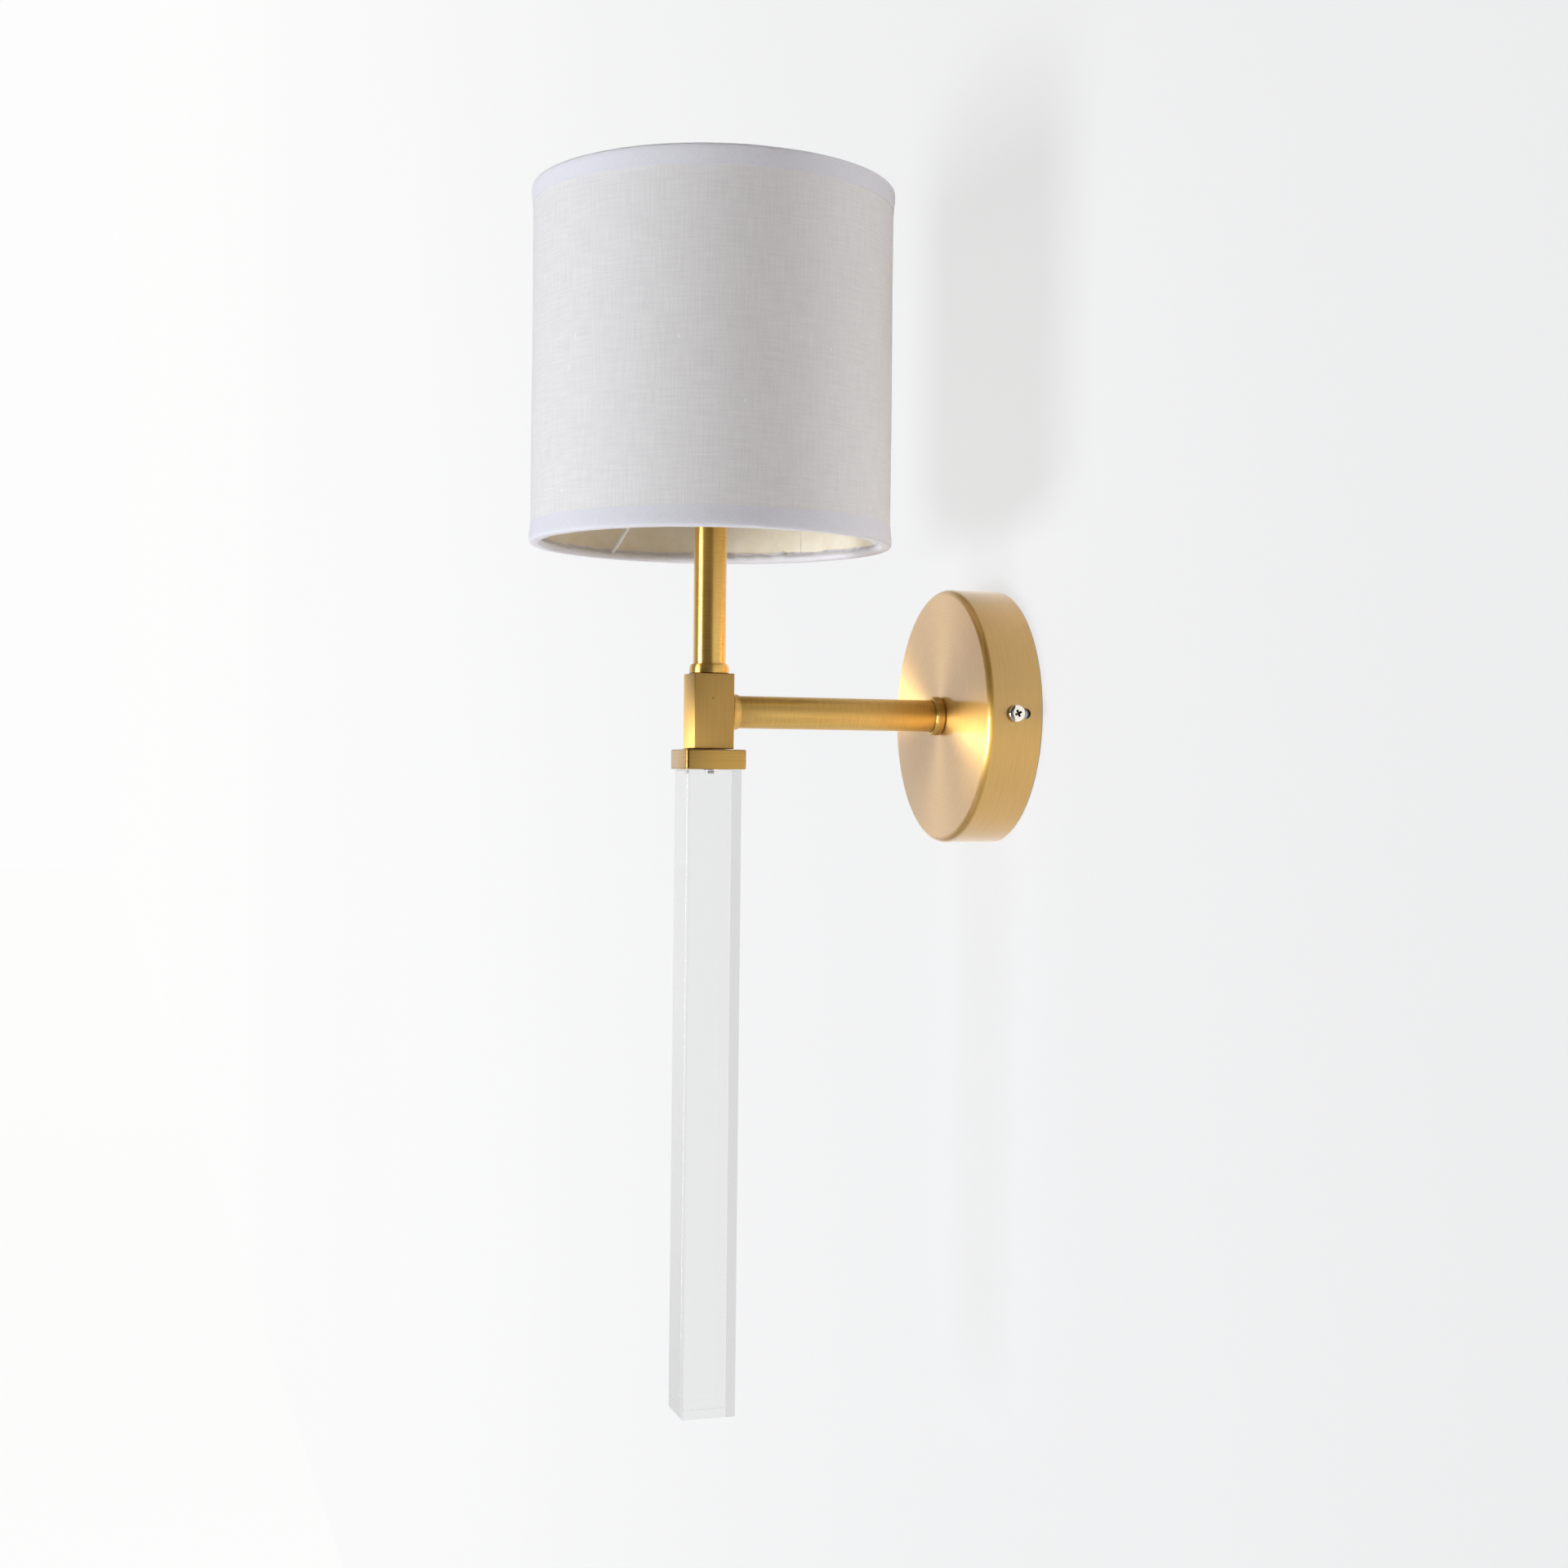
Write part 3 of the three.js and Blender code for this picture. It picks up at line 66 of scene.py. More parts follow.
looking = Vector((
    -math.cos(CAMERA_YAW) * math.cos(CAMERA_PITCH),
    math.sin(CAMERA_YAW) * math.cos(CAMERA_PITCH),
    math.sin(CAMERA_PITCH),
))
camera = bpy.data.objects.new("camera", bpy.data.cameras.new("camera"))
bpy.context.scene.collection.objects.link(camera)
camera.data.lens, camera.data.sensor_width = LENS, SENSOR
camera.data.clip_start, camera.data.clip_end = 0.05, 50
camera.location = Vector(CAMERA_PLACE) * MM
camera.rotation_euler = looking.to_track_quat("-Z", "Y").to_euler()
camera.rotation_euler.rotate_axis("Z", CAMERA_ROLL)
bpy.context.scene.camera = camera
print("camera at", tuple(round(c, 3) for c in camera.location))

# %% [markdown]
# ## Helpers for materials
#
# A finish is a small network of nodes. One function adds a node, sets it and
# links it; one turns the hex values of a paint card into the linear numbers that
# the renderer adds up; and one starts a material with its shader.

# %% Helpers for materials
def colour(hex_value):
    """An sRGB hex value as linear red, green, blue and alpha."""
    channels = [int(hex_value[i:i + 2], 16) / 255 for i in (1, 3, 5)]
    return (*[c / 12.92 if c <= 0.04045 else ((c + 0.055) / 1.055) ** 2.4 for c in channels], 1)


def add_node(tree, kind, inputs=None, **settings):
    """Adds a node. inputs maps a socket to a value or to the socket it is linked from."""
    node = tree.nodes.new(kind)
    for name, value in settings.items():
        setattr(node, name, value)
    for name, value in (inputs or {}).items():
        if isinstance(value, bpy.types.NodeSocket):
            tree.links.new(value, node.inputs[name])
        else:
            node.inputs[name].default_value = value
    return node


def new_finish(name, inputs):
    """A material with one Principled shader. Returns the material, its tree and the shader."""
    material = bpy.data.materials.new(name)
    material.use_nodes = True
    tree = material.node_tree
    tree.nodes.clear()
    shader = add_node(tree, "ShaderNodeBsdfPrincipled", inputs)
    add_node(tree, "ShaderNodeOutputMaterial", {"Surface": shader.outputs[0]})
    return material, tree, shader


def feed(tree, shader, sockets):
    """Links values that vary over the surface to the shader's sockets."""
    for name, source in sockets.items():
        tree.links.new(source, shader.inputs[name])


print("white is", colour("#ffffff")[:3])

# %% [markdown]
# ## Brushed brass
#
# The metal is brass with a satin brushed surface under thin lacquer. Brushing
# leaves fine parallel scratches, and they pull each highlight out across their
# own direction: that is anisotropy. The scratches run round the canopy, the
# tubes and the collars, because those are brushed while they turn in a lathe,
# upwards on the block and level on the rod's cap. On the canopy's side the brass
# is tinted deeper and yellower: painted shade, standing in for the darker
# reflection that side shows. The block and the rod's cap get a darker brass than
# the tubes, which is painted shade too.
#
# Scratches are drawn with noise that is stretched along them. Round pieces use
# the direction from the axis as two of the noise's coordinates, so the pattern
# closes without a seam. Real brushing is 0.05 to 0.1 mm wide; it is drawn about
# 0.4 mm wide, because finer lines would not show at this distance.

# %% Brushed brass
BRUSH_WIDTH = 0.4        # mm
BRUSH_LENGTH = 25.0      # mm
SCRATCH_DEPTH = 0.0015   # mm
TARNISH_SCALE = 30.0     # patches to the metre, so each is about 33 mm
RIM_SHADE_FROM, RIM_SHADE_TO = 2.5, 0.5    # mm inside the canopy's edge, where the painted shade on its side sets in
AXIS_MASKS = {"Y": (1, 0, 1), "Z": (1, 1, 0)}


def scratch_coordinates(tree, lines, centre, streaks):
    """Noise coordinates stretched along the scratches of a straight or a turned piece.

    streaks is how fast the noise changes on the way round a turned piece.
    """
    place = add_node(tree, "ShaderNodeTexCoord").outputs["Object"]
    if lines in ("up", "level"):
        across, along = 1 / (BRUSH_WIDTH * MM), 1 / (BRUSH_LENGTH * MM)
        scale = (across, across, along) if lines == "up" else (along, along, across)
        return add_node(tree, "ShaderNodeMapping",
                        {"Vector": place, "Scale": scale}).outputs[0]
    axis = lines[-1]
    centred = add_node(tree, "ShaderNodeVectorMath", {0: place, 1: centre},
                       operation="SUBTRACT").outputs[0]
    flat = add_node(tree, "ShaderNodeVectorMath", {0: centred, 1: AXIS_MASKS[axis]},
                    operation="MULTIPLY").outputs[0]
    radius = add_node(tree, "ShaderNodeVectorMath", {0: flat}, operation="LENGTH").outputs["Value"]
    outwards = add_node(tree, "ShaderNodeVectorMath", {0: flat}, operation="NORMALIZE").outputs[0]
    turned_round = add_node(tree, "ShaderNodeVectorMath", {0: outwards, "Scale": streaks},
                            operation="SCALE").outputs[0]
    split = add_node(tree, "ShaderNodeSeparateXYZ", {0: centred})
    # Radius less height grows along the face and shrinks along the rim, so one
    # value numbers the scratches on both.
    profile = add_node(tree, "ShaderNodeMath", {0: radius, 1: split.outputs[axis]},
                       operation="SUBTRACT").outputs[0]
    number = add_node(tree, "ShaderNodeMath", {0: profile, 1: 1 / (BRUSH_WIDTH * MM)},
                      operation="MULTIPLY").outputs[0]
    step = add_node(tree, "ShaderNodeCombineXYZ", {axis: number}).outputs[0]
    return add_node(tree, "ShaderNodeVectorMath", {0: turned_round, 1: step},
                    operation="ADD").outputs[0]


def brushed_brass(name, lines, centre=(0, 0, 0), light="#f0c973", dark="#e2b35d",
                  roughness=(0.39, 0.44), stretch=0.96, across=0.25, streaks=1.0, lacquer=0.2,
                  rim_shade_tint=""):
    """Brass brushed in one direction. across turns the highlight to lie across the lines.

    A tint for the canopy's side, if given, is painted shade that makes the brass there deeper and
    yellower.
    """
    material, tree, shader = new_finish(name, {
        "Metallic": 1.0, "Anisotropic": stretch, "Anisotropic Rotation": across,
        "Coat Weight": lacquer, "Coat Roughness": 0.15, "Coat IOR": 1.7,
    })
    scratches = add_node(tree, "ShaderNodeTexNoise", {
        "Vector": scratch_coordinates(tree, lines, centre, streaks), "Scale": 1.0,
        "Detail": 2.0, "Roughness": 0.55,
    }).outputs["Fac"]
    tarnish = add_node(tree, "ShaderNodeTexNoise", {
        "Vector": add_node(tree, "ShaderNodeTexCoord").outputs["Object"],
        "Scale": TARNISH_SCALE, "Detail": 1.0,
    }).outputs["Fac"]
    blend = add_node(tree, "ShaderNodeMath", {0: tarnish, 1: 0.4, 2: scratches},
                     operation="MULTIPLY_ADD")
    tone = add_node(tree, "ShaderNodeMapRange", {
        "Value": blend.outputs[0], "From Min": 0.45, "From Max": 0.95}).outputs[0]
    brass = add_node(tree, "ShaderNodeMix", {
        "Factor": tone, 6: colour(dark), 7: colour(light)}, data_type="RGBA").outputs[2]
    # Painted shade: the canopy's side is multiplied by a deeper, yellower tint.
    if rim_shade_tint:
        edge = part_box("canopy")[1].x
        flat = add_node(tree, "ShaderNodeVectorMath", {
            0: add_node(tree, "ShaderNodeTexCoord").outputs["Object"], 1: AXIS_MASKS["Y"]},
            operation="MULTIPLY").outputs[0]
        out = add_node(tree, "ShaderNodeVectorMath", {0: flat}, operation="LENGTH")
        side = add_node(tree, "ShaderNodeMapRange", {
            "Value": out.outputs["Value"], "From Min": edge - RIM_SHADE_FROM * MM,
            "From Max": edge - RIM_SHADE_TO * MM}).outputs[0]
        brass = add_node(tree, "ShaderNodeMix", {
            0: side, 6: brass, 7: colour(rim_shade_tint)}, data_type="RGBA",
            blend_type="MULTIPLY").outputs[2]
    rough = add_node(tree, "ShaderNodeMapRange", {
        "Value": scratches, "From Min": 0.3, "From Max": 0.7,
        "To Min": roughness[0], "To Max": roughness[1]}).outputs[0]
    bump = add_node(tree, "ShaderNodeBump", {
        "Height": scratches, "Strength": 1.0, "Distance": SCRATCH_DEPTH * MM}).outputs[0]
    tangent = add_node(tree, "ShaderNodeTangent", direction_type="RADIAL",
                       axis=lines[-1] if lines[-1] in AXIS_MASKS else "Z").outputs[0]
    feed(tree, shader, {"Base Color": brass, "Roughness": rough, "Normal": bump,
                        "Tangent": tangent})
    return material


HEAD_AXIS = sum(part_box("clear_rod"), Vector()) / 2      # the stem, the rod and the shade
ON_HEAD = (HEAD_AXIS.x, HEAD_AXIS.y, 0)
# The canopy's last colour is the painted shade on its side.
canopy_brass = brushed_brass("brass_turned_canopy", "round Y", light="#efc274", dark="#e3b060",
                             roughness=(0.44, 0.49), stretch=0.9, streaks=4.0, lacquer=1.0,
                             rim_shade_tint="#f5f2ca")
arm_brass = brushed_brass("brass_turned_arm", "round Y")
stem_brass = brushed_brass("brass_turned_stem", "round Z", ON_HEAD)
# The block and the cap get a darker brass than the tubes: painted shade for the darker surroundings
# their faces reflect.
block_brass = brushed_brass("brass_brushed_upwards", "up", light="#d3aa5d", dark="#c69b4e",
                            roughness=(0.42, 0.48), across=0.0)
cap_brass = brushed_brass("brass_brushed_level", "level", light="#cfa85b", dark="#ba9043")
print("brass finishes:", [m.name for m in bpy.data.materials if m.name.startswith("brass")])

# %% [markdown]
# ## Other metals
#
# The screws, the bulb's cap and the holder's shell are nickel plated: smooth,
# slightly warm and bright. In the hollows of the canopy's two screws a painted
# shade darkens the colour where little light gets in. The bracket is galvanised
# strip steel, which has a faint spangle of zinc crystals. The threaded nipples
# and the clamps are plain machined brass that nobody polished, so they are
# duller and a little brown.

# %% Other metals
def mottled(name, light, dark, patch, roughness, metallic=1.0, relief=0.01, painted_recess_shade="", **sockets):
    """A finish whose colour and gloss drift between two tones in patches, patch in mm.

    A last dark colour, if given, is painted shade: ambient occlusion darkens narrow hollows towards
    it.
    """
    material, tree, shader = new_finish(name, {"Metallic": metallic, **sockets})
    place = add_node(tree, "ShaderNodeTexCoord").outputs["Object"]
    drift = add_node(tree, "ShaderNodeTexNoise", {
        "Vector": place, "Scale": 1 / (patch * MM), "Detail": 4.0, "Roughness": 0.6,
    }).outputs["Fac"]
    spread = add_node(tree, "ShaderNodeMapRange", {
        "Value": drift, "From Min": 0.3, "From Max": 0.7}).outputs[0]
    tone = add_node(tree, "ShaderNodeMix", {
        "Factor": spread, 6: colour(dark), 7: colour(light)}, data_type="RGBA").outputs[2]
    rough = add_node(tree, "ShaderNodeMapRange", {
        "Value": drift, "From Min": 0.3, "From Max": 0.7,
        "To Min": roughness[0], "To Max": roughness[1]}).outputs[0]
    bump = add_node(tree, "ShaderNodeBump", {
        "Height": drift, "Strength": 0.3, "Distance": relief * MM}).outputs[0]
    # Painted shade: ambient occlusion pulls the colour in narrow hollows towards a dark tone.
    if painted_recess_shade:
        open_air = add_node(tree, "ShaderNodeAmbientOcclusion", {"Distance": 2 * MM}, samples=8)
        clear = add_node(tree, "ShaderNodeMapRange", {
            "Value": open_air.outputs["AO"], "From Min": 0.45, "From Max": 0.85}).outputs[0]
        tone = add_node(tree, "ShaderNodeMix", {
            "Factor": clear, 6: colour(painted_recess_shade), 7: tone}, data_type="RGBA").outputs[2]
    feed(tree, shader, {"Base Color": tone, "Roughness": rough, "Normal": bump})
    return material


nickel = mottled("nickel_plate", "#f0eae0", "#e2dacc", 1.5, (0.08, 0.14), relief=0.002)
# The canopy screws get painted shade in their cross recess.
nickel_screw = mottled("nickel_plate_screw", "#f3ede2", "#e4dccd", 1.5, (0.1, 0.16),
                       relief=0.002, painted_recess_shade="#17120c")
zinc = mottled("galvanised_steel", "#c3c6c8", "#a5a9ac", 6, (0.3, 0.5), relief=0.02)
raw_brass = mottled("machined_brass", "#d1a860", "#a97f41", 2.5, (0.3, 0.45))
print("other metals:", nickel.name, zinc.name, raw_brass.name)

# %% [markdown]
# ## Moulded and fired materials
#
# The lampholder is black-brown phenolic, pressed in a hot mould: dense, with a
# soft gloss. The terminal block is milky nylon, the holder's core is glazed
# porcelain, the bulb is opal glass, and the shade's wires are coated with white
# enamel. The leads have PVC sleeves in brown, blue and green.

# %% Moulded and fired materials
phenolic = mottled("phenolic_moulded", "#2b2623", "#1d1917", 3, (0.32, 0.45), 0.0,
                   **{"Coat Weight": 0.1, "IOR": 1.55})
nylon = mottled("nylon_moulded", "#efece2", "#e2ddd0", 3, (0.4, 0.55), 0.0,
                **{"Subsurface Weight": 0.1, "Subsurface Scale": 0.002, "IOR": 1.53})
porcelain = mottled("porcelain_glazed", "#f1ede3", "#e6e0d2", 5, (0.12, 0.22), 0.0,
                    **{"Coat Weight": 0.5, "Coat Roughness": 0.08})
opal = mottled("glass_opal", "#f6f3ec", "#efebe2", 12, (0.14, 0.2), 0.0, 0.003,
               **{"Subsurface Weight": 0.3, "Subsurface Scale": 0.004, "Coat Weight": 0.4,
                  "Coat Roughness": 0.05})
black_glass = mottled("glass_black", "#1c1b1b", "#111010", 2, (0.08, 0.16), 0.0)
enamel = mottled("enamel_white", "#f2f1ec", "#e6e4dd", 4, (0.3, 0.42), 0.0,
                 **{"Coat Weight": 0.3, "Coat Roughness": 0.2})
sleeves = {
    "live_lead": mottled("pvc_brown", "#6d4329", "#583420", 4, (0.35, 0.5), 0.0),
    "neutral_lead": mottled("pvc_blue", "#3c6fb1", "#2f5c98", 4, (0.35, 0.5), 0.0),
    "earth_lead": mottled("pvc_green", "#5fa047", "#4d8a39", 4, (0.35, 0.5), 0.0),
}
print("moulded and fired:", phenolic.name, nylon.name, porcelain.name, opal.name, enamel.name)

# %% [markdown]
# ## Clear acrylic
#
# The rod is cast acrylic, sawn square and flame polished. It bends light with an
# index of 1.49 and keeps very faint ripples from polishing. The eye reads it by
# its edges and by how it shifts what stands behind it. Two things are simplified.
# A thick clear bar lets most of the light through, so more than half of each
# shadow ray passes. Light that keeps bouncing between the polished sides would
# end as black lines, so after a few bounces the rod glows a pale grey instead:
# painted light.

# %% Clear acrylic
RIPPLES = (60, 60, 12)      # a metre, so they are about 17 mm wide and 80 mm long
LET_THROUGH = 0.6           # share of the shadow rays that pass
LAST_BOUNCE, CAUGHT_GLOW = 3.5, 0.76


def clear_acrylic():
    """Polished clear acrylic: glass that glows a pale grey, as painted light, for rays that bounce
    too long.
    """
    material, tree, shader = new_finish("acrylic_cast_polished", {
        "Base Color": colour("#f1f1f1"), "Roughness": 0.0, "IOR": 1.49,
        "Transmission Weight": 1.0,
    })
    place = add_node(tree, "ShaderNodeTexCoord").outputs["Object"]
    stretched = add_node(tree, "ShaderNodeMapping", {
        "Vector": place, "Scale": RIPPLES}).outputs[0]
    ripple = add_node(tree, "ShaderNodeTexNoise", {
        "Vector": stretched, "Scale": 1.0, "Detail": 1.0}).outputs["Fac"]
    haze = add_node(tree, "ShaderNodeMapRange", {
        "Value": ripple, "To Min": 0.0, "To Max": 0.05}).outputs[0]
    bump = add_node(tree, "ShaderNodeBump", {
        "Height": ripple, "Strength": 0.08, "Distance": 0.02 * MM}).outputs[0]
    feed(tree, shader, {"Roughness": haze, "Normal": bump})
    rays = add_node(tree, "ShaderNodeLightPath").outputs
    passed = add_node(tree, "ShaderNodeMath", {0: rays["Is Shadow Ray"], 1: LET_THROUGH},
                      operation="MULTIPLY").outputs[0]
    light_path = add_node(tree, "ShaderNodeMixShader", {
        0: passed, 1: shader.outputs[0], 2: add_node(tree, "ShaderNodeBsdfTransparent").outputs[0]})
    caught = add_node(tree, "ShaderNodeMath", {
        0: rays["Ray Depth"], 1: LAST_BOUNCE}, operation="GREATER_THAN").outputs[0]
    # Painted light: past the last bounce the rod emits a pale grey.
    pale = add_node(tree, "ShaderNodeEmission", {"Color": (1, 1, 1, 1), "Strength": CAUGHT_GLOW})
    whole = add_node(tree, "ShaderNodeMixShader", {
        0: caught, 1: light_path.outputs[0], 2: pale.outputs[0]})
    output = next(n for n in tree.nodes if n.type == "OUTPUT_MATERIAL")
    tree.links.new(whole.outputs[0], output.inputs["Surface"])
    return material


acrylic = clear_acrylic()
print("clear:", acrylic.name)

# %% [markdown]
# ## Linen, tape and lining
#
# The shade is plain-woven linen glued to a stiff lining. Its threads cross about
# every 0.4 mm; they are drawn every 0.8 mm so that the weave shows. Linen yarn
# is uneven, so some threads are thicker and there are a few small slubs. The
# edges are bound with cotton tape cut on the bias: its threads run at 45
# degrees, and are drawn every 0.6 mm. The lining is cream styrene with a faint grain.
#
# Each of these pieces gets a UV map in metres: U runs round the shade and V up
# it, so a thread follows the cloth.

# %% Linen, tape and lining
def woven(name, light, dark, pitch, slant=0.0, uneven=0.5, relief=0.06, slubs=False):
    """Plain weave on the UV map, pitch in mm between threads, slant in degrees."""
    material, tree, shader = new_finish(name, {
        "Roughness": 0.9, "Sheen Weight": 0.25, "Sheen Roughness": 0.5, "IOR": 1.45,
        "Specular IOR Level": 0.25,
    })
    uv = add_node(tree, "ShaderNodeTexCoord").outputs["UV"]
    cloth = add_node(tree, "ShaderNodeMapping", {
        "Vector": uv, "Rotation": (0, 0, math.radians(slant)),
        "Scale": (1 / (pitch * MM),) * 3}).outputs[0]
    wander = add_node(tree, "ShaderNodeTexNoise", {
        "Vector": cloth, "Scale": 0.35, "Detail": 1.0}).outputs["Color"]
    shift = add_node(tree, "ShaderNodeVectorMath", {0: wander, 1: (0.5, 0.5, 0.5)},
                     operation="SUBTRACT").outputs[0]
    bent = add_node(tree, "ShaderNodeVectorMath", {0: shift, 1: (0.9, 0.9, 0), 2: cloth},
                    operation="MULTIPLY_ADD").outputs[0]
    split = add_node(tree, "ShaderNodeSeparateXYZ", {0: bent})
    threads = []
    for axis, stretch in (("X", (1.0, 0.06, 1)), ("Y", (0.06, 1.0, 1))):
        wave = add_node(tree, "ShaderNodeMath", {0: split.outputs[axis], 1: math.pi * 2},
                        operation="MULTIPLY").outputs[0]
        crest = add_node(tree, "ShaderNodeMath", {0: wave}, operation="SINE").outputs[0]
        along = add_node(tree, "ShaderNodeMapping", {
            "Vector": bent, "Scale": stretch}).outputs[0]
        yarn = add_node(tree, "ShaderNodeTexNoise", {
            "Vector": along, "Scale": 0.9, "Detail": 2.0}).outputs["Fac"]
        threads.append((crest, yarn))
    (warp, warp_yarn), (weft, weft_yarn) = threads
    crossing = add_node(tree, "ShaderNodeMath", {0: warp, 1: weft}, operation="MULTIPLY").outputs[0]
    crossing = add_node(tree, "ShaderNodeMath", {0: warp, 1: 0.35, 2: crossing},
                        operation="MULTIPLY_ADD").outputs[0]
    yarns = add_node(tree, "ShaderNodeMath", {0: warp_yarn, 1: weft_yarn},
                     operation="ADD").outputs[0]
    height = add_node(tree, "ShaderNodeMath", {0: yarns, 1: uneven * 4, 2: crossing},
                      operation="MULTIPLY_ADD").outputs[0]
    tone = add_node(tree, "ShaderNodeMapRange", {
        "Value": height, "From Min": uneven * 4 - 1.2, "From Max": uneven * 4 + 1.2}).outputs[0]
    shade = add_node(tree, "ShaderNodeMix", {
        "Factor": tone, 6: colour(dark), 7: colour(light)}, data_type="RGBA").outputs[2]
    if slubs:
        cells = add_node(tree, "ShaderNodeTexVoronoi", {
            "Vector": add_node(tree, "ShaderNodeMapping", {
                "Vector": cloth, "Scale": (1.0, 0.45, 1)}).outputs[0],
            "Scale": 0.09}, feature="F1").outputs["Distance"]
        slub = add_node(tree, "ShaderNodeMapRange", {
            "Value": cells, "From Min": 0.03, "From Max": 0.06, "To Min": 1.0,
            "To Max": 0.0}).outputs[0]
        shade = add_node(tree, "ShaderNodeMix", {
            "Factor": slub, 6: shade, 7: colour("#f6f6f5")}, data_type="RGBA").outputs[2]
        height = add_node(tree, "ShaderNodeMath", {0: slub, 1: 2.0, 2: height},
                          operation="MULTIPLY_ADD").outputs[0]
    bump = add_node(tree, "ShaderNodeBump", {
        "Height": height, "Strength": 0.5, "Distance": relief * MM}).outputs[0]
    feed(tree, shader, {"Base Color": shade, "Normal": bump})
    return material


linen = woven("linen_plain_weave", "#f5f3f1", "#d9d6d4", 0.8, uneven=0.38, slubs=True)
tape = woven("cotton_bias_tape", "#eeedf1", "#d9d8dd", 0.6, slant=45, uneven=0.3, relief=0.04)
lining = mottled("styrene_lining", "#f3ebd8", "#e9dec3", 9, (0.5, 0.62), 0.0, 0.02)
print("cloth:", linen.name, tape.name, lining.name)

# %% [markdown]
# ## Helpers for pieces
#
# Most pieces are turned: their outline is the same all round an axis. By hand
# you add a circle, extrude it, and scale and move each new ring, all the way
# round the outline, and then bridge the last ring to the first. `turned` does
# that from a list of radii and heights. A radius of 0 closes to a point.
# Pieces round the arm's axis are built upright and then tipped over, so their
# height becomes the distance from the wall.

# %% Helpers for pieces
def middle(node):
    """Centre of a CAD node's box, in mm."""
    low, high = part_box(node)
    return (low + high) / 2 / MM


def size(node):
    """Size of a CAD node's box, in mm."""
    low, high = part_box(node)
    return (high - low) / MM


def clear_selection():
    """Deselects every object, so that the next operator acts on its own piece."""
    bpy.ops.object.select_all(action="DESELECT")


def select_elements(piece, wanted):
    """In object mode, selects the vertices that wanted(vertex) picks, and what they join."""
    mesh = piece.data
    for face in mesh.polygons:
        face.select = False
    for edge in mesh.edges:
        edge.select = False
    for vertex in mesh.vertices:
        vertex.select = bool(wanted(vertex))
    for edge in mesh.edges:
        edge.select = all(mesh.vertices[v].select for v in edge.vertices)


def edit(piece, *steps):
    """Runs edit-mode steps on a piece, each a function without arguments."""
    bpy.context.view_layer.objects.active = piece
    bpy.ops.object.mode_set(mode="EDIT")
    for step in steps:
        step()
    bpy.ops.object.mode_set(mode="OBJECT")


def clean():
    """Merges doubles and turns all faces outwards, in edit mode."""
    bpy.ops.mesh.select_all(action="SELECT")
    bpy.ops.mesh.remove_doubles(threshold=1e-6)
    bpy.ops.mesh.normals_make_consistent(inside=False)


def apply_all(piece):
    """Applies the piece's modifiers."""
    clear_selection()
    piece.select_set(True)
    bpy.context.view_layer.objects.active = piece
    for modifier in list(piece.modifiers):
        bpy.ops.object.modifier_apply(modifier=modifier.name)


def apply_place(piece):
    """Moves the piece's place, turn and scale into its mesh."""
    clear_selection()
    piece.select_set(True)
    bpy.context.view_layer.objects.active = piece
    bpy.ops.object.transform_apply(location=True, rotation=True, scale=True)


def turned(name, profile, centre=(0, 0), segments=128, axis="Z", open_ends=False):
    """A turned piece from (radius, height) in mm, anticlockwise round its outline."""
    clear_selection()
    points = [(r, z) for r, z in profile if r > 0]
    bottom_pole = profile[0][1] if profile[0][0] == 0 else None
    top_pole = profile[-1][1] if profile[-1][0] == 0 else None
    bpy.ops.mesh.primitive_circle_add(vertices=segments, radius=points[0][0] * MM,
                                      location=(0, 0, points[0][1] * MM), calc_uvs=False)
    piece = bpy.context.object
    piece.name = name
    apply_place(piece)

    def ring_to(scale, rise):
        bpy.ops.mesh.extrude_edges_move()
        bpy.ops.transform.resize(value=(scale, scale, 1), center_override=(0, 0, 0))
        bpy.ops.transform.translate(value=(0, 0, rise * MM))

    def climb():
        bpy.ops.mesh.select_all(action="SELECT")
        for (r_from, z_from), (r_to, z_to) in zip(points, points[1:]):
            ring_to(r_to / r_from, z_to - z_from)
        if top_pole is not None:
            ring_to(0, top_pole - points[-1][1])

    edit(piece, climb)
    rings = len(piece.data.vertices) // segments
    if bottom_pole is not None:
        select_elements(piece, lambda v: v.index < segments)
        edit(piece, lambda: ring_to(0, bottom_pole - points[0][1]))
    elif top_pole is None and not open_ends:
        last = (rings - 1) * segments
        select_elements(piece, lambda v: v.index < segments or v.index >= last)
        for edge in piece.data.edges:
            low, high = sorted(edge.vertices)
            edge.select = edge.select and (high < segments or low >= last)
        edit(piece, bpy.ops.mesh.bridge_edge_loops)
    map_round(piece, points, segments)
    edit(piece, clean)
    if axis == "Y":
        piece.rotation_euler.x = math.pi / 2
    piece.location = (centre[0] * MM, centre[1] * MM, 0)
    apply_place(piece)
    return piece


def map_round(piece, points, segments):
    """UV map in metres: U round the piece and V along its outline."""
    lengths = [0.0]
    for a, b in zip(points, points[1:]):
        lengths.append(lengths[-1] + math.dist(a, b) * MM)
    closing = lengths[-1] + math.dist(points[-1], points[0]) * MM
    round_length = 2 * math.pi * max(r for r, _ in points) * MM
    uv = piece.data.uv_layers.new(name="UVMap").data
    for face in piece.data.polygons:
        where = [divmod(piece.data.loops[i].vertex_index, segments) for i in face.loop_indices]
        crosses = {c for _, c in where} == {0, segments - 1}
        closes = {r for r, _ in where} == {0, len(points) - 1} and len(points) > 2
        for i, (row, column) in zip(face.loop_indices, where):
            turn = 1.0 if crosses and column == 0 else column / segments
            up = closing if closes and row == 0 else lengths[min(row, len(points) - 1)]
            uv[i].uv = (turn * round_length, up)


def arc(centre, radius, start, end, steps):
    """Points of an arc of an outline, angles in degrees."""
    angles = (math.radians(start + (end - start) * i / steps) for i in range(steps + 1))
    return [(centre[0] + radius * math.cos(a), centre[1] + radius * math.sin(a)) for a in angles]


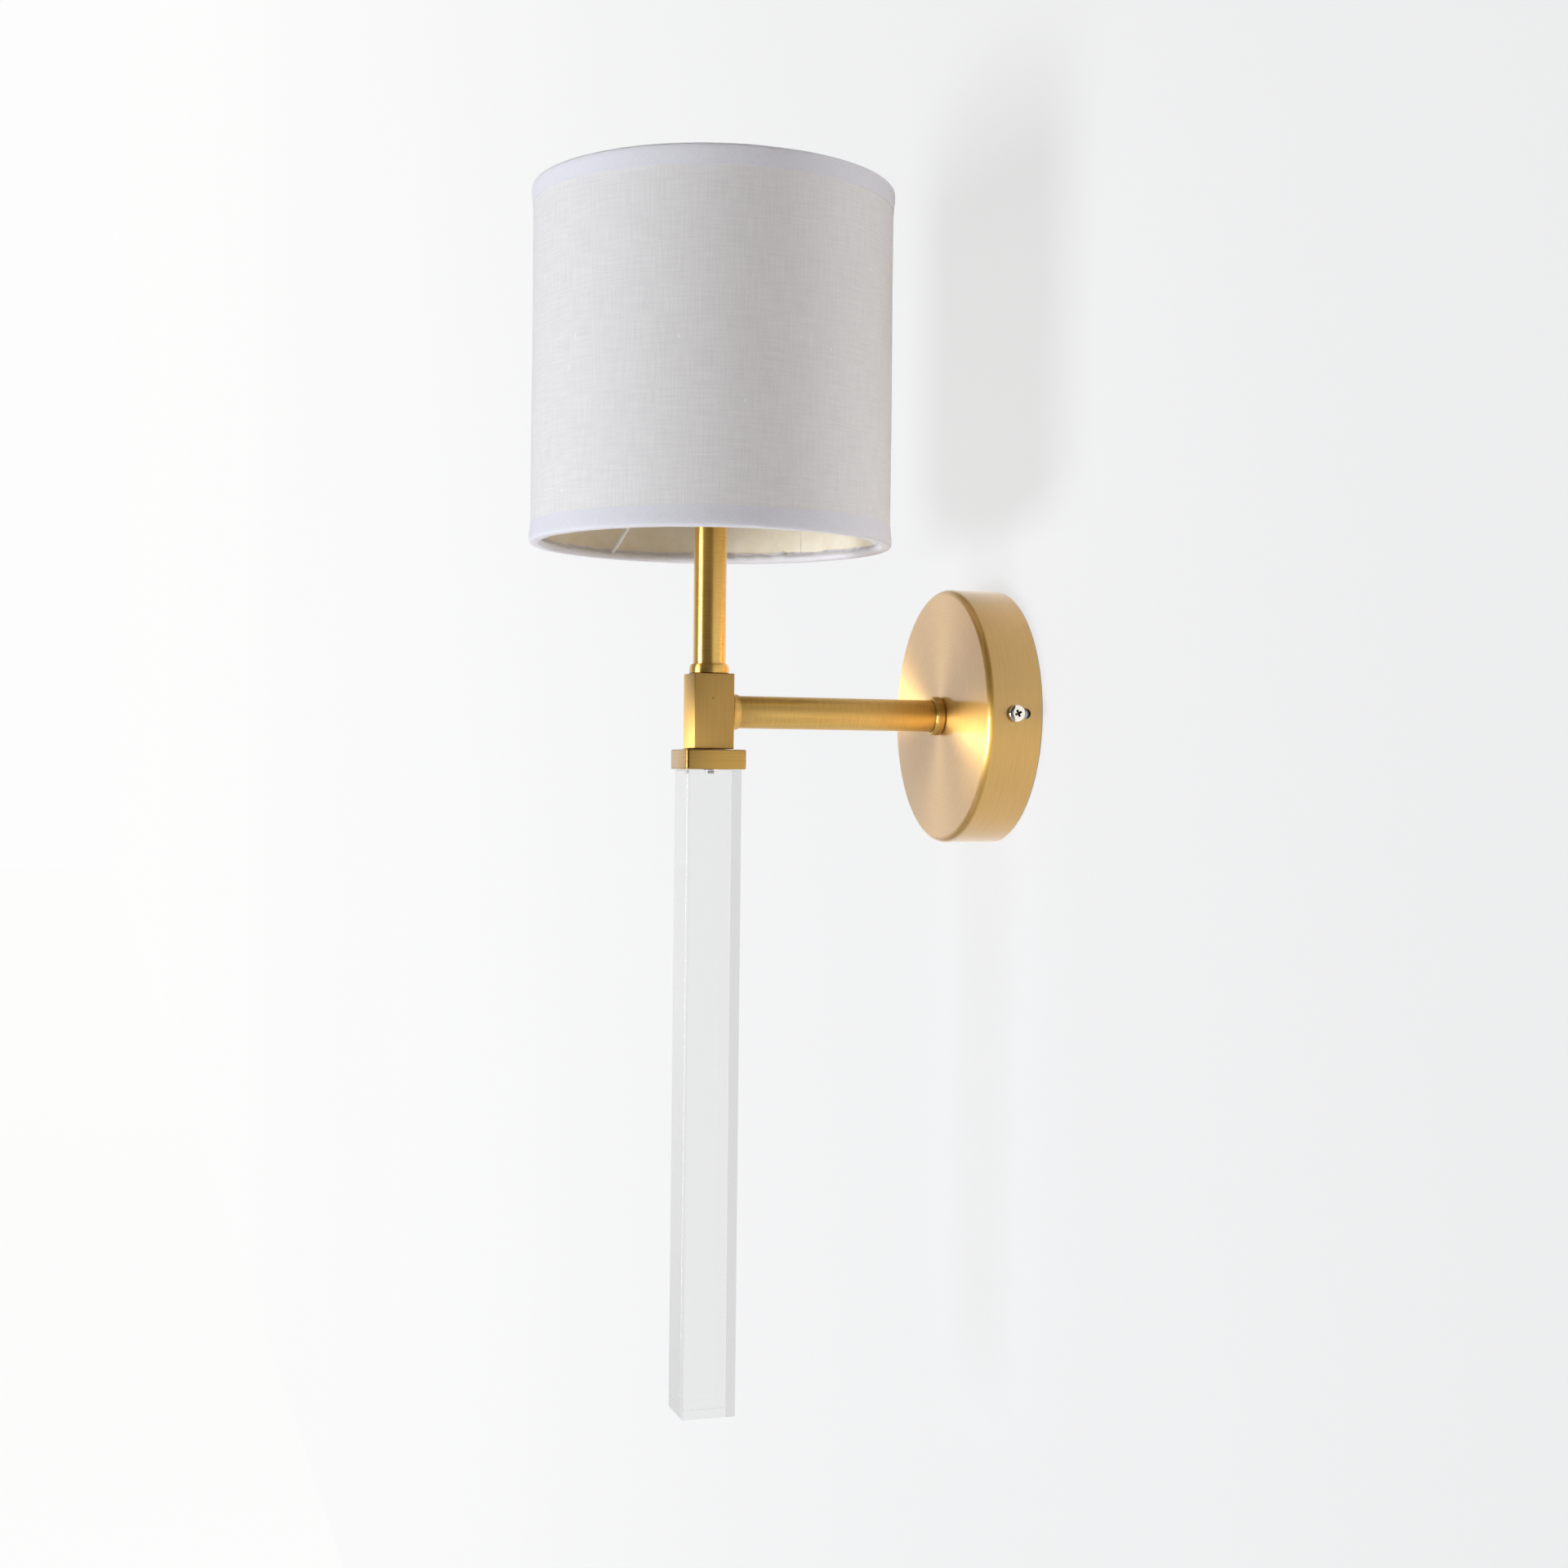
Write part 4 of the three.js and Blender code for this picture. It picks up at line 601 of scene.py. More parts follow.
def finish_piece(piece, material, smooth=35):
    """Gives a piece its material and smooth shading below an angle in degrees."""
    piece.data.materials.clear()
    piece.data.materials.append(material)
    clear_selection()
    piece.select_set(True)
    bpy.context.view_layer.objects.active = piece
    bpy.ops.object.shade_smooth_by_angle(angle=math.radians(smooth))
    print(f"{piece.name}: {len(piece.data.polygons)} faces, "
          f"{[round(d / MM, 1) for d in piece.dimensions]} mm")


def cut_away(piece, cutter):
    """Cuts one piece with another, which is then removed."""
    modifier = piece.modifiers.new("cut", "BOOLEAN")
    modifier.operation, modifier.solver, modifier.object = "DIFFERENCE", "EXACT", cutter
    apply_all(piece)
    bpy.data.objects.remove(cutter)


print("arm axis at height", round(middle("arm_tube").z, 2), "mm")

# %% [markdown]
# ## The canopy
#
# The canopy is a cup spun from sheet brass, 1.2 mm thick, with a rounded front
# edge and its open side against the wall. It is turned from its outline. A slot
# in each side lets it slide over the bracket's screws: the cutter is a cylinder
# whose two halves are pushed apart, which makes a bar with round ends.

# %% The canopy
CANOPY_WALL, CANOPY_EDGE = 1.2, 3.0
SLOT_WIDTH, SLOT_BACK, SLOT_FRONT = 4.8, 5.0, 1.0
CANOPY_RADIUS, CANOPY_DEPTH = size("canopy").x / 2, size("canopy").y
NIPPLE_HOLE = 5.3
SCREW_TO_WALL = -middle("canopy_screw_right").y

canopy_outline = [
    (CANOPY_RADIUS - 0.25, 0), (CANOPY_RADIUS, 0.25),
    *arc((CANOPY_RADIUS - CANOPY_EDGE, CANOPY_DEPTH - CANOPY_EDGE), CANOPY_EDGE, 0, 90, 12),
    (CANOPY_RADIUS * 0.6, CANOPY_DEPTH), (NIPPLE_HOLE, CANOPY_DEPTH),
    (NIPPLE_HOLE, CANOPY_DEPTH - CANOPY_WALL), (CANOPY_RADIUS * 0.6, CANOPY_DEPTH - CANOPY_WALL),
    *arc((CANOPY_RADIUS - CANOPY_EDGE, CANOPY_DEPTH - CANOPY_EDGE), CANOPY_EDGE - CANOPY_WALL,
         90, 0, 6),
    (CANOPY_RADIUS - CANOPY_WALL, 0),
]
canopy = turned("canopy_spun", canopy_outline, segments=192, axis="Y")

clear_selection()
bpy.ops.mesh.primitive_cylinder_add(
    vertices=34, radius=SLOT_WIDTH / 2 * MM, depth=CANOPY_RADIUS * 3 * MM,
    location=(0, -SCREW_TO_WALL * MM, 0), rotation=(0, math.pi / 2, 0))
slot_cutter = bpy.context.object
apply_place(slot_cutter)
for towards_wall, push in ((True, SLOT_BACK), (False, SLOT_FRONT)):
    select_elements(slot_cutter, lambda v: (v.co.y > -SCREW_TO_WALL * MM) == towards_wall)
    step = (0, (push if towards_wall else -push) * MM, 0)
    edit(slot_cutter, lambda: bpy.ops.transform.translate(value=step))
cut_away(canopy, slot_cutter)
finish_piece(canopy, canopy_brass)
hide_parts("canopy")
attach(canopy, "fixed")

# %% [markdown]
# ## Collars and tubes
#
# Three small turned collars hide the ends of the tubes: a flat bevelled ring on
# the canopy, a tapered one against the block and a domed one under the stem.
# The tubes are hollow with eased ends. All of them are turned, with enough
# rings in their rounds for a clean highlight.

# %% Collars and tubes
def hollow_tube(radius, bore, start, end, ease=0.4):
    """Outline of a tube with eased ends."""
    return [
        (bore, start), *arc((radius - ease, start + ease), ease, -90, 0, 4),
        *arc((radius - ease, end - ease), ease, 0, 90, 4), (bore, end),
    ]


def along_arm(node):
    """Nearest and farthest distance of a node from the wall, in mm."""
    low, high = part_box(node)
    return -high.y / MM, -low.y / MM


def up_stem(node):
    """Where a node starts and ends up the stem, in mm."""
    low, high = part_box(node)
    return low.z / MM, high.z / MM


HEAD = (middle("clear_rod").x, middle("clear_rod").y)
TUBE_RADIUS, TUBE_BORE, COLLAR_BORE = size("stem_tube").x / 2, 6.4, 7.8

near, far = along_arm("canopy_collar")
ring_radius, bevel = size("canopy_collar").x / 2, 0.7
canopy_ring = turned("collar_canopy_ring", [
    (NIPPLE_HOLE, near), (ring_radius - bevel, near), (ring_radius - 0.2, near + bevel * 0.7),
    (ring_radius, near + bevel * 1.2), (ring_radius, far - bevel * 1.2),
    (ring_radius - 0.2, far - bevel * 0.7), (ring_radius - bevel, far), (COLLAR_BORE, far),
    (COLLAR_BORE, near + 1.5), (NIPPLE_HOLE, near + 1.5),
], segments=96, axis="Y")

near, far = along_arm("arm_tube")
arm = turned("tube_arm", hollow_tube(TUBE_RADIUS, TUBE_BORE, near, far),
             segments=96, axis="Y")

near, far = along_arm("arm_collar")
taper_radius = size("arm_collar").x / 2
arm_taper = turned("collar_arm_taper", [
    (NIPPLE_HOLE, far - 1.5), (COLLAR_BORE, far - 1.5), (COLLAR_BORE, near),
    (COLLAR_BORE + 0.3, near), (taper_radius - 0.35, far - 1.6), (taper_radius - 0.05, far - 1.1),
    (taper_radius, far - 0.8), (taper_radius, far - 0.1), (taper_radius - 0.1, far),
    (NIPPLE_HOLE, far),
][::-1], segments=96, axis="Y")

low, high = up_stem("stem_collar")
dome_radius = size("stem_collar").x / 2
lip = COLLAR_BORE + 0.3
dome = [(lip + (dome_radius - lip) * math.cos(a), low + 1 + (high - low - 1) * math.sin(a))
        for a in (math.pi / 2 * i / 12 for i in range(13))]
stem_dome = turned("collar_stem_dome", [
    (NIPPLE_HOLE, low), (dome_radius - 0.15, low), (dome_radius, low + 0.15), *dome,
    (COLLAR_BORE, high), (COLLAR_BORE, low + 1.5), (NIPPLE_HOLE, low + 1.5),
], HEAD, segments=96)

low, high = up_stem("stem_tube")
stem = turned("tube_stem", hollow_tube(TUBE_RADIUS, TUBE_BORE, low, high), HEAD,
              segments=96)

for piece, node, brass in (
    (canopy_ring, "canopy_collar", arm_brass), (arm, "arm_tube", arm_brass),
    (arm_taper, "arm_collar", arm_brass), (stem_dome, "stem_collar", stem_brass),
    (stem, "stem_tube", stem_brass),
):
    finish_piece(piece, brass)
    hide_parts(node)
    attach(piece, "fixed")

# %% [markdown]
# ## The block, the cap and the clear rod
#
# The corner block and the rod's cap are milled bars with softly broken edges,
# and the rod is a sawn acrylic bar with narrow polished edges. Each starts as a
# cube at its true size. Its upright edges are bevelled first and its rims after,
# the way a workshop breaks them. The holes for arm, stem and stud are then cut.

# %% The block, the cap and the clear rod
def bevel_edges(piece, wanted, width, steps):
    """Bevels the edges that wanted(one end, other end) picks, width in mm."""
    bpy.context.tool_settings.mesh_select_mode = (False, True, False)
    select_elements(piece, lambda v: False)
    for e in piece.data.edges:
        e.select = wanted(*(piece.data.vertices[v].co for v in e.vertices))
    edit(piece, lambda: bpy.ops.mesh.bevel(
        offset=width * MM, segments=steps, affect="EDGES", clamp_overlap=True))
    bpy.context.tool_settings.mesh_select_mode = (True, False, False)


def bar(name, node, corner, edge, steps=5):
    """A square bar with rounded upright corners and eased rims, in the place of a node."""
    clear_selection()
    bpy.ops.mesh.primitive_cube_add(size=1, location=middle(node) * MM)
    piece = bpy.context.object
    piece.name = name
    piece.scale = size(node) * MM
    apply_place(piece)
    rims = [c.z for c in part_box(node)]
    bevel_edges(piece, lambda a, b: abs(a.z - b.z) > 1e-4, corner, steps)
    bevel_edges(piece, lambda a, b: any(abs(a.z - z) < 1e-6 and abs(b.z - z) < 1e-6
                                        for z in rims), edge, steps)
    return piece


def drill(piece, radius, start, end):
    """Bores a round hole between two points, in mm."""
    start, end = Vector(start), Vector(end)
    clear_selection()
    bpy.ops.mesh.primitive_cylinder_add(
        vertices=48, radius=radius * MM, depth=(end - start).length * MM,
        location=(start + end) / 2 * MM,
        rotation=(end - start).to_track_quat("Z", "Y").to_euler())
    cutter = bpy.context.object
    apply_place(cutter)
    cut_away(piece, cutter)


block = bar("block_corner", "corner_block", 0.6, 0.4)
block_middle, block_half = middle("corner_block"), size("corner_block") / 2
drill(block, NIPPLE_HOLE, block_middle, block_middle + Vector((0, block_half.y + 1, 0)))
drill(block, NIPPLE_HOLE, block_middle - Vector((0, 0, NIPPLE_HOLE)),
      block_middle + Vector((0, 0, block_half.z + 1)))
pit = block_middle + Vector((block_half.x, -0.1 * block_half.y, 0.34 * block_half.z))
drill(block, 0.45, pit - Vector((0.35, 0, 0)), pit + Vector((1, 0, 0)))
STUD_HOLE = 2.8
stud_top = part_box("rod_stud")[1].z / MM + 0.3
drill(block, STUD_HOLE, (*HEAD, stud_top - 20), (*HEAD, stud_top))

cap = bar("cap_rod", "rod_cap", 1.5, 0.8)
past_cap = Vector((0, 0, 10))
drill(cap, STUD_HOLE, middle("rod_cap") - past_cap, middle("rod_cap") + past_cap)
for piece, node, brass in ((block, "corner_block", block_brass), (cap, "rod_cap", cap_brass)):
    finish_piece(piece, brass)
    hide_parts(node)
    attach(piece, "fixed")

rod = bar("rod_clear", "clear_rod", 0.5, 0.45, steps=2)
rod_top = up_stem("clear_rod")[1]
drill(rod, STUD_HOLE, (*HEAD, rod_top - 1.9), (*HEAD, rod_top + 1))
finish_piece(rod, acrylic, smooth=20)
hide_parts("clear_rod")
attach(rod, "fixed")

# %% [markdown]
# ## The linen drum
#
# The shade is a drum of linen over a stiff lining. Both are thin turned shells
# with enough rings for the cloth to be a little uneven, as glued cloth is: a
# cloud texture pushes them in and out by a few tenths of a millimetre. Cloth and
# lining each overlap themselves in one upright seam. The overlap is a short
# strip, made by spinning one rectangle through a few degrees.

# %% The linen drum
LINEN_THICKNESS, LINING_THICKNESS = 0.8, 0.6    # mm
SEAM_AT, SEAM_LAP = 146.0, 9.0                  # degrees from +X, and mm of overlap
LINEN_LAP, LINING_LAP, LAP_INSET = 0.25, 0.2, 0.5    # mm
LINING_SEAM_BEFORE = 8.6                        # degrees, so the two seams don't pile up
WAVE_HEIGHT, WAVE_LENGTH = 0.5, 45.0            # mm


def sleeve(name, node, thickness, rings=24, segments=256):
    """A thin round shell with inner and outer rings, where a node is."""
    low, high = up_stem(node)
    outer = size(node).x / 2
    heights = [low + (high - low) * i / rings for i in range(rings + 1)]
    return turned(name, [(outer, h) for h in heights]
                  + [(outer - thickness, h) for h in reversed(heights)], HEAD, segments)


def lap(piece, inner, outer, low, high, start, width, steps=12):
    """Joins an upright overlap to a shell: a rectangle spun about the shade's axis."""
    clear_selection()
    bpy.ops.mesh.primitive_plane_add(size=1, rotation=(math.pi / 2, 0, 0))
    strip = bpy.context.object
    strip.scale = ((outer - inner) * MM, (high - low) * MM, 1)
    strip.location = ((inner + outer) / 2 * MM, 0, (low + high) / 2 * MM)
    apply_place(strip)
    strip.data.uv_layers.active.name = "UVMap"
    sweep = width / outer
    edit(strip, lambda: bpy.ops.mesh.select_all(action="SELECT"),
         lambda: bpy.ops.mesh.spin(steps=steps, angle=sweep, center=(0, 0, 0), axis=(0, 0, 1)),
         clean)
    strip.rotation_euler.z = math.radians(start)
    strip.location = (HEAD[0] * MM, HEAD[1] * MM, 0)
    apply_place(strip)
    for face in strip.data.polygons:
        for i in face.loop_indices:
            spot = strip.data.vertices[strip.data.loops[i].vertex_index].co
            turn = math.atan2(spot.y - HEAD[1] * MM, spot.x - HEAD[0] * MM)
            strip.data.uv_layers.active.data[i].uv = (turn * outer * MM, spot.z)
    clear_selection()
    strip.select_set(True)
    piece.select_set(True)
    bpy.context.view_layer.objects.active = piece
    bpy.ops.object.join()


def ruffle(piece, name, height, length, group=""):
    """Displaces a piece with a cloud texture, height and length in mm."""
    clouds = bpy.data.textures.new(name, "CLOUDS")
    clouds.noise_scale, clouds.noise_depth, clouds.cloud_type = length * MM, 1, "COLOR"
    push = piece.modifiers.new(name, "DISPLACE")
    push.texture, push.texture_coords, push.direction = clouds, "LOCAL", "RGB_TO_XYZ"
    push.mid_level, push.strength, push.vertex_group = 0.5, height * MM, group
    apply_all(piece)


fabric_radius, liner_radius = size("shade_fabric").x / 2, size("shade_liner").x / 2
fabric_low, fabric_high = up_stem("shade_fabric")
seam_low, seam_high = fabric_low + LAP_INSET, fabric_high - LAP_INSET
drum = sleeve("drum_linen", "shade_fabric", LINEN_THICKNESS)
lap(drum, fabric_radius, fabric_radius + LINEN_LAP, seam_low, seam_high, SEAM_AT, SEAM_LAP)
inside = sleeve("lining_styrene", "shade_liner", LINING_THICKNESS)
inner_face = liner_radius - LINING_THICKNESS
lap(inside, inner_face - LINING_LAP, inner_face, seam_low, seam_high,
    SEAM_AT - LINING_SEAM_BEFORE, SEAM_LAP)
for piece, node, cloth_finish, cloth_slot in (
    (drum, "shade_fabric", linen, "linen"), (inside, "shade_liner", lining, "liner"),
):
    ruffle(piece, "cloth_waves", WAVE_HEIGHT, WAVE_LENGTH)
    finish_piece(piece, cloth_finish)
    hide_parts(node)
    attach(piece, "shade")

# %% [markdown]
# ## The bias tape
#
# Tape is folded over each edge of the drum and round the wire ring inside it.
# Outside it lies flat. Inside it is drawn tightly over the wire and glued to the
# lining, where it puckers. The outline is turned, then the inner leaf is
# ruffled with two fine cloud textures through a vertex group. The tape's end
# laps over its start, so a few degrees of it are fattened.

# %% The bias tape
TAPE_THICKNESS, OUTER_LEAF, INNER_LEAF = 0.5, 9.0, 4.9      # mm
TAPE_JOINT_AT, TAPE_JOINT_LAP = 134.0, 5.0                  # degrees
TAPE_INSIDE, INNER_LEAF_WITHIN = 77.3, 81.0                 # mm from the shade's axis
PUCKERS, CREASES = (1.7, 7.0), (0.9, 2.5)                   # height and length in mm


def tape_outline(outside, inside, fold, side):
    """Closed outline of a folded tape. side is 1 when its leaves point up."""
    outer_round, inner_round, thick = 1.4, 1.9, TAPE_THICKNESS
    edge = fabric_radius + 0.2
    outer_face = [
        (edge, OUTER_LEAF), (edge + 0.1, OUTER_LEAF * 0.7), (outside, OUTER_LEAF * 0.35),
        *arc((outside - outer_round, outer_round), outer_round, 0, -90, 6),
        *arc((inside + inner_round, inner_round), inner_round, 270, 180, 7),
        (inside + 0.25, 2.7), (inside + 1.1, 3.4), (inside + 2.0, 3.9), (inside + 2.6, 4.4),
        (inside + 2.8, INNER_LEAF),
    ]
    inner_face = [
        (inside + 2.8 + thick, INNER_LEAF - 0.1), (inside + 2.6 + thick, 4.5),
        (inside + 2.0 + thick, 4.1), (inside + 1.1 + thick, 3.6),
        (inside + 0.25 + thick, 2.9), (inside + thick, inner_round),
        *arc((inside + inner_round, inner_round), inner_round - thick, 180, 270, 5)[1:],
        *arc((outside - outer_round, outer_round), outer_round - thick, 270, 360, 5),
        (outside - thick, OUTER_LEAF * 0.35), (edge + 0.1 - thick, OUTER_LEAF * 0.7),
        (edge - thick, OUTER_LEAF),
    ]
    return [(r, fold + side * h) for r, h in outer_face + inner_face]


def folded_tape(name, node, side, segments=540):
    """A tape folded over an edge of the shade: side is 1 at the bottom and -1 at the top."""
    low, high = up_stem(node)
    outside = size(node).x / 2
    tape_piece = turned(name, tape_outline(
        outside - 0.05, TAPE_INSIDE, (low if side > 0 else high), side), HEAD, segments)
    fold = (low if side > 0 else high) * MM
    group = tape_piece.vertex_groups.new(name="inner_leaf")
    for vertex in tape_piece.data.vertices:
        out = math.hypot(vertex.co.x - HEAD[0] * MM, vertex.co.y - HEAD[1] * MM) / MM
        up = abs(vertex.co.z - fold) / MM
        if out < INNER_LEAF_WITHIN:
            group.add([vertex.index], min(1.0, max(0.0, (up - 1.2) / 2.2)), "REPLACE")
    select_elements(tape_piece, lambda v: TAPE_JOINT_AT < math.degrees(math.atan2(
        v.co.y - HEAD[1] * MM, v.co.x - HEAD[0] * MM)) < TAPE_JOINT_AT + TAPE_JOINT_LAP
        and abs(v.co.z - fold) > 0.4 * MM)
    edit(tape_piece, lambda: bpy.ops.transform.shrink_fatten(value=0.2 * MM))
    ruffle(tape_piece, "cloth_waves", WAVE_HEIGHT * 0.6, WAVE_LENGTH)
    ruffle(tape_piece, "puckers", *PUCKERS, "inner_leaf")
    ruffle(tape_piece, "creases", *CREASES, "inner_leaf")
    finish_piece(tape_piece, tape, smooth=50)
    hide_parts(node)
    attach(tape_piece, "shade")


folded_tape("tape_bottom", "shade_bottom_trim", 1)
folded_tape("tape_top", "shade_top_trim", -1)

# %% [markdown]
# ## Wire rings and the spider
#
# Two wire rings hold the drum round. The spider is a washer that sits on the
# lampholder, with three wires welded under it that run down to the lower ring.
# A ring is a torus. A spoke is a curve with a round bevel, with a short flat
# part under the washer where it is welded, and a slight sag.

# %% Wire rings and the spider
RING_WIRE, SPOKE_WIRE = 1.2, 1.15
SPOKE_ANGLES = [82 + 120 * i for i in range(3)]
for name, node in (("wire_bottom", "shade_bottom_ring"), ("wire_top", "shade_top_ring")):
    clear_selection()
    bpy.ops.mesh.primitive_torus_add(
        major_radius=(size(node).x / 2 - RING_WIRE) * MM, minor_radius=RING_WIRE * MM,
        major_segments=192, minor_segments=16, location=middle(node) * MM)
    wire = bpy.context.object
    wire.name = name
    apply_place(wire)
    finish_piece(wire, enamel, smooth=60)
    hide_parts(node)
    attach(wire, "shade")


def wire_through(name, points, radius, sides=12):
    """A round wire through points in mm, as a mesh."""
    clear_selection()
    line = bpy.data.curves.new(name, "CURVE")
    line.dimensions, line.bevel_depth, line.bevel_resolution = "3D", radius * MM, sides // 4
    line.use_fill_caps = True
    spline = line.splines.new("BEZIER")
    spline.bezier_points.add(len(points) - 1)
    for knot, point in zip(spline.bezier_points, points):
        knot.co = Vector(point) * MM
        knot.handle_left_type = knot.handle_right_type = "AUTO"
    line.resolution_u = 8
    piece = bpy.data.objects.new(name, line)
    bpy.context.scene.collection.objects.link(piece)
    piece.select_set(True)
    bpy.context.view_layer.objects.active = piece
    bpy.ops.object.convert(target="MESH")
    piece = bpy.context.object
    edit(piece, clean)
    return piece


def join(pieces):
    """Joins pieces into the first one."""
    clear_selection()
    for piece in pieces:
        piece.select_set(True)
    bpy.context.view_layer.objects.active = pieces[0]
    bpy.ops.object.join()
    return pieces[0]


fitter_top = up_stem("shade_spider")[1]
fitter_low = fitter_top - 1.0
ring_height = middle("shade_bottom_ring").z
ring_reach = size("shade_bottom_ring").x / 2 - RING_WIRE
WELD_AT = 26.5      # mm from the stem's axis
washer = turned("spider_shade", [
    (20.05, fitter_low + 0.15), (20.2, fitter_low), (27.8, fitter_low), (28.0, fitter_low + 0.2),
    (28.0, fitter_top - 0.2), (27.8, fitter_top), (20.2, fitter_top), (20.05, fitter_top - 0.15),
], HEAD, segments=96)
spokes = []
for angle in SPOKE_ANGLES:
    out = Vector((math.cos(math.radians(angle)), math.sin(math.radians(angle)), 0))
    head = Vector((*HEAD, 0))
    top, foot = WELD_AT, ring_reach - 0.9
    knots = [(top - 1.5, fitter_low - 0.4), (top, fitter_low - 0.6)]
    for part in (0.25, 0.5, 0.75, 0.93):
        knots.append((top + (foot - top) * part,
                      fitter_low - 0.6 + (ring_height + 1.6 - fitter_low) * part))
    knots.append((foot, ring_height + 1.5))
    spokes.append(wire_through("spoke", [head + out * r + Vector((0, 0, z)) for r, z in knots],
                               SPOKE_WIRE))
spider = join([washer, *spokes])
finish_piece(spider, enamel, smooth=50)
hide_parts("shade_spider")
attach(spider, "shade")

# %% [markdown]
# ## Threads
#
# A thread is cut into a turned piece whose wall has many rings: each point of
# the wall moves inwards by a depth that depends on its height and on its angle
# round the axis, so the groove climbs by one pitch a turn. It runs out at both
# ends.

# %% Threads
def thread_rings(radius, low, high, pitch, per_turn=8):
    """Points of a straight wall with enough rings for a thread."""
    count = max(4, round((high - low) / pitch * per_turn))
    return [(radius, low + (high - low) * i / count) for i in range(count + 1)]


def cut_thread(piece, radius, low, high, pitch, depth, centre=(0, 0), axis="Z", flat=0.15):
    """Cuts a helical groove between two heights of the wall that has this radius."""
    for vertex in piece.data.vertices:
        x, y, z = vertex.co / MM
        across, other, up = (x - centre[0], y - centre[1], z) if axis == "Z" else (x, -z, -y)
        if abs(math.hypot(across, other) - radius) > 0.02 or not low <= up <= high:
            continue
        phase = (up / pitch - math.atan2(other, across) / (2 * math.pi)) % 1
        groove = min(1, max(0, (abs(2 * phase - 1) - flat) / (1 - 2 * flat)))
        groove *= min(1, (up - low) / (pitch * 0.6), (high - up) / (pitch * 0.6))
        factor = 1 - depth * groove / radius
        if axis == "Z":
            vertex.co = Vector((centre[0] + across * factor, centre[1] + other * factor, z)) * MM
        else:
            vertex.co = Vector((across * factor, y, -other * factor)) * MM


# %% [markdown]
# ## Nipples, stud and screws
#
# Hollow M10 nipples with a 1 mm thread join the tubes to canopy, block and
# lampholder, and a stud holds the rod. The canopy screws are M4 pan heads with a
# cross recess: two tapered wings cut from the head.

# %% Nipples, stud and screws
def nipple(name, node, axis):
    """A hollow M10 nipple along the arm (axis Y) or up the stem (axis Z)."""
    start, end = along_arm(node) if axis == "Y" else up_stem(node)
    centre = (0, 0) if axis == "Y" else HEAD
    bore, radius, ease, pitch, depth = 4.0, 5.0, 0.6, 1.0, 0.5
    thread = (start + ease, end - ease, pitch)
    piece = turned(name, [
        (bore, start), (radius - ease, start), *thread_rings(radius, *thread),
        (radius - ease, end), (bore, end),
    ], centre, segments=48, axis=axis)
    cut_thread(piece, radius, *thread, depth, centre, axis)
    finish_piece(piece, raw_brass, smooth=25)
    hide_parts(node)
    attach(piece, "fixed")


for place, axis in (("canopy", "Y"), ("arm", "Y"), ("stem", "Z"), ("holder", "Z")):
    nipple(f"nipple_{place}", f"{place}_nipple", axis)

start, end = up_stem("rod_stud")
STUD_RADIUS, STUD_EASE, STUD_PITCH, STUD_DEPTH = 2.5, 0.5, 0.8, 0.4
stud_thread = (STUD_RADIUS, start + STUD_EASE, end - STUD_EASE, STUD_PITCH)
stud = turned("stud_rod", [
    (0, start), (STUD_RADIUS - STUD_EASE, start), *thread_rings(*stud_thread),
    (STUD_RADIUS - STUD_EASE, end), (0, end),
], HEAD, segments=40)
cut_thread(stud, *stud_thread, STUD_DEPTH, HEAD)
finish_piece(stud, zinc, smooth=25)
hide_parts("rod_stud")
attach(stud, "fixed")


CROSS_TURN = 25                     # degrees
CROSS_WING = (4.3, 1.35, 3.6)       # mm
CROSS_TAPER = 0.6                   # how wide a wing is at its foot, as a share of its top


def pan_screw(name, shank, head_radius=4.0, head_height=2.7, radius=2.0):
    """A pan-head screw on Z, with its head above z = 0."""
    ease, pitch, depth = 0.5, 0.7, 0.35
    thread = (radius, ease - shank, -0.4, pitch)
    piece = turned(name, [
        (0, -shank), (radius - ease, -shank), *thread_rings(*thread, per_turn=6), (radius, 0),
        (head_radius - 0.2, 0), (head_radius, 0.2), (head_radius, head_height * 0.42),
        (head_radius * 0.965, head_height * 0.6), (head_radius * 0.89, head_height * 0.76),
        (head_radius * 0.76, head_height * 0.88), (head_radius * 0.58, head_height * 0.96),
        (head_radius * 0.3, head_height * 0.995), (0, head_height),
    ], segments=64)
    cut_thread(piece, *thread, depth)
    for turn in (0, 90):
        clear_selection()
        bpy.ops.mesh.primitive_cube_add(size=1, location=(0, 0, head_height * MM))
        wing = bpy.context.object
        wing.scale = Vector(CROSS_WING) * MM
        wing.rotation_euler.z = math.radians(CROSS_TURN + turn)
        apply_place(wing)
        select_elements(wing, lambda v: v.co.z < head_height * MM)
        edit(wing, lambda: bpy.ops.transform.resize(
            value=(CROSS_TAPER, CROSS_TAPER, 1), center_override=(0, 0, 0)))
        cut_away(piece, wing)
    return piece


for side, name in ((1, "right"), (-1, "left")):
    screw = pan_screw(f"screw_{name}", 8.0)
    screw.rotation_euler = (Vector((side, 0, 0)).to_track_quat("Z", "Y")).to_euler()
    screw.location = (side * (CANOPY_RADIUS + 0.3) * MM, -SCREW_TO_WALL * MM, 0)
    apply_place(screw)
    finish_piece(screw, nickel_screw, smooth=30)
    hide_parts(f"canopy_screw_{name}")
    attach(screw, f"canopy_screw_{name}")

# %% [markdown]
# ## The lampholder
#
# The lampholder is phenolic: a bowl-shaped base with a neck, and a body whose
# upper part is threaded for the ring nut that holds the shade. The nut has
# twelve finger grooves, which are cut with a ring of small cylinders.

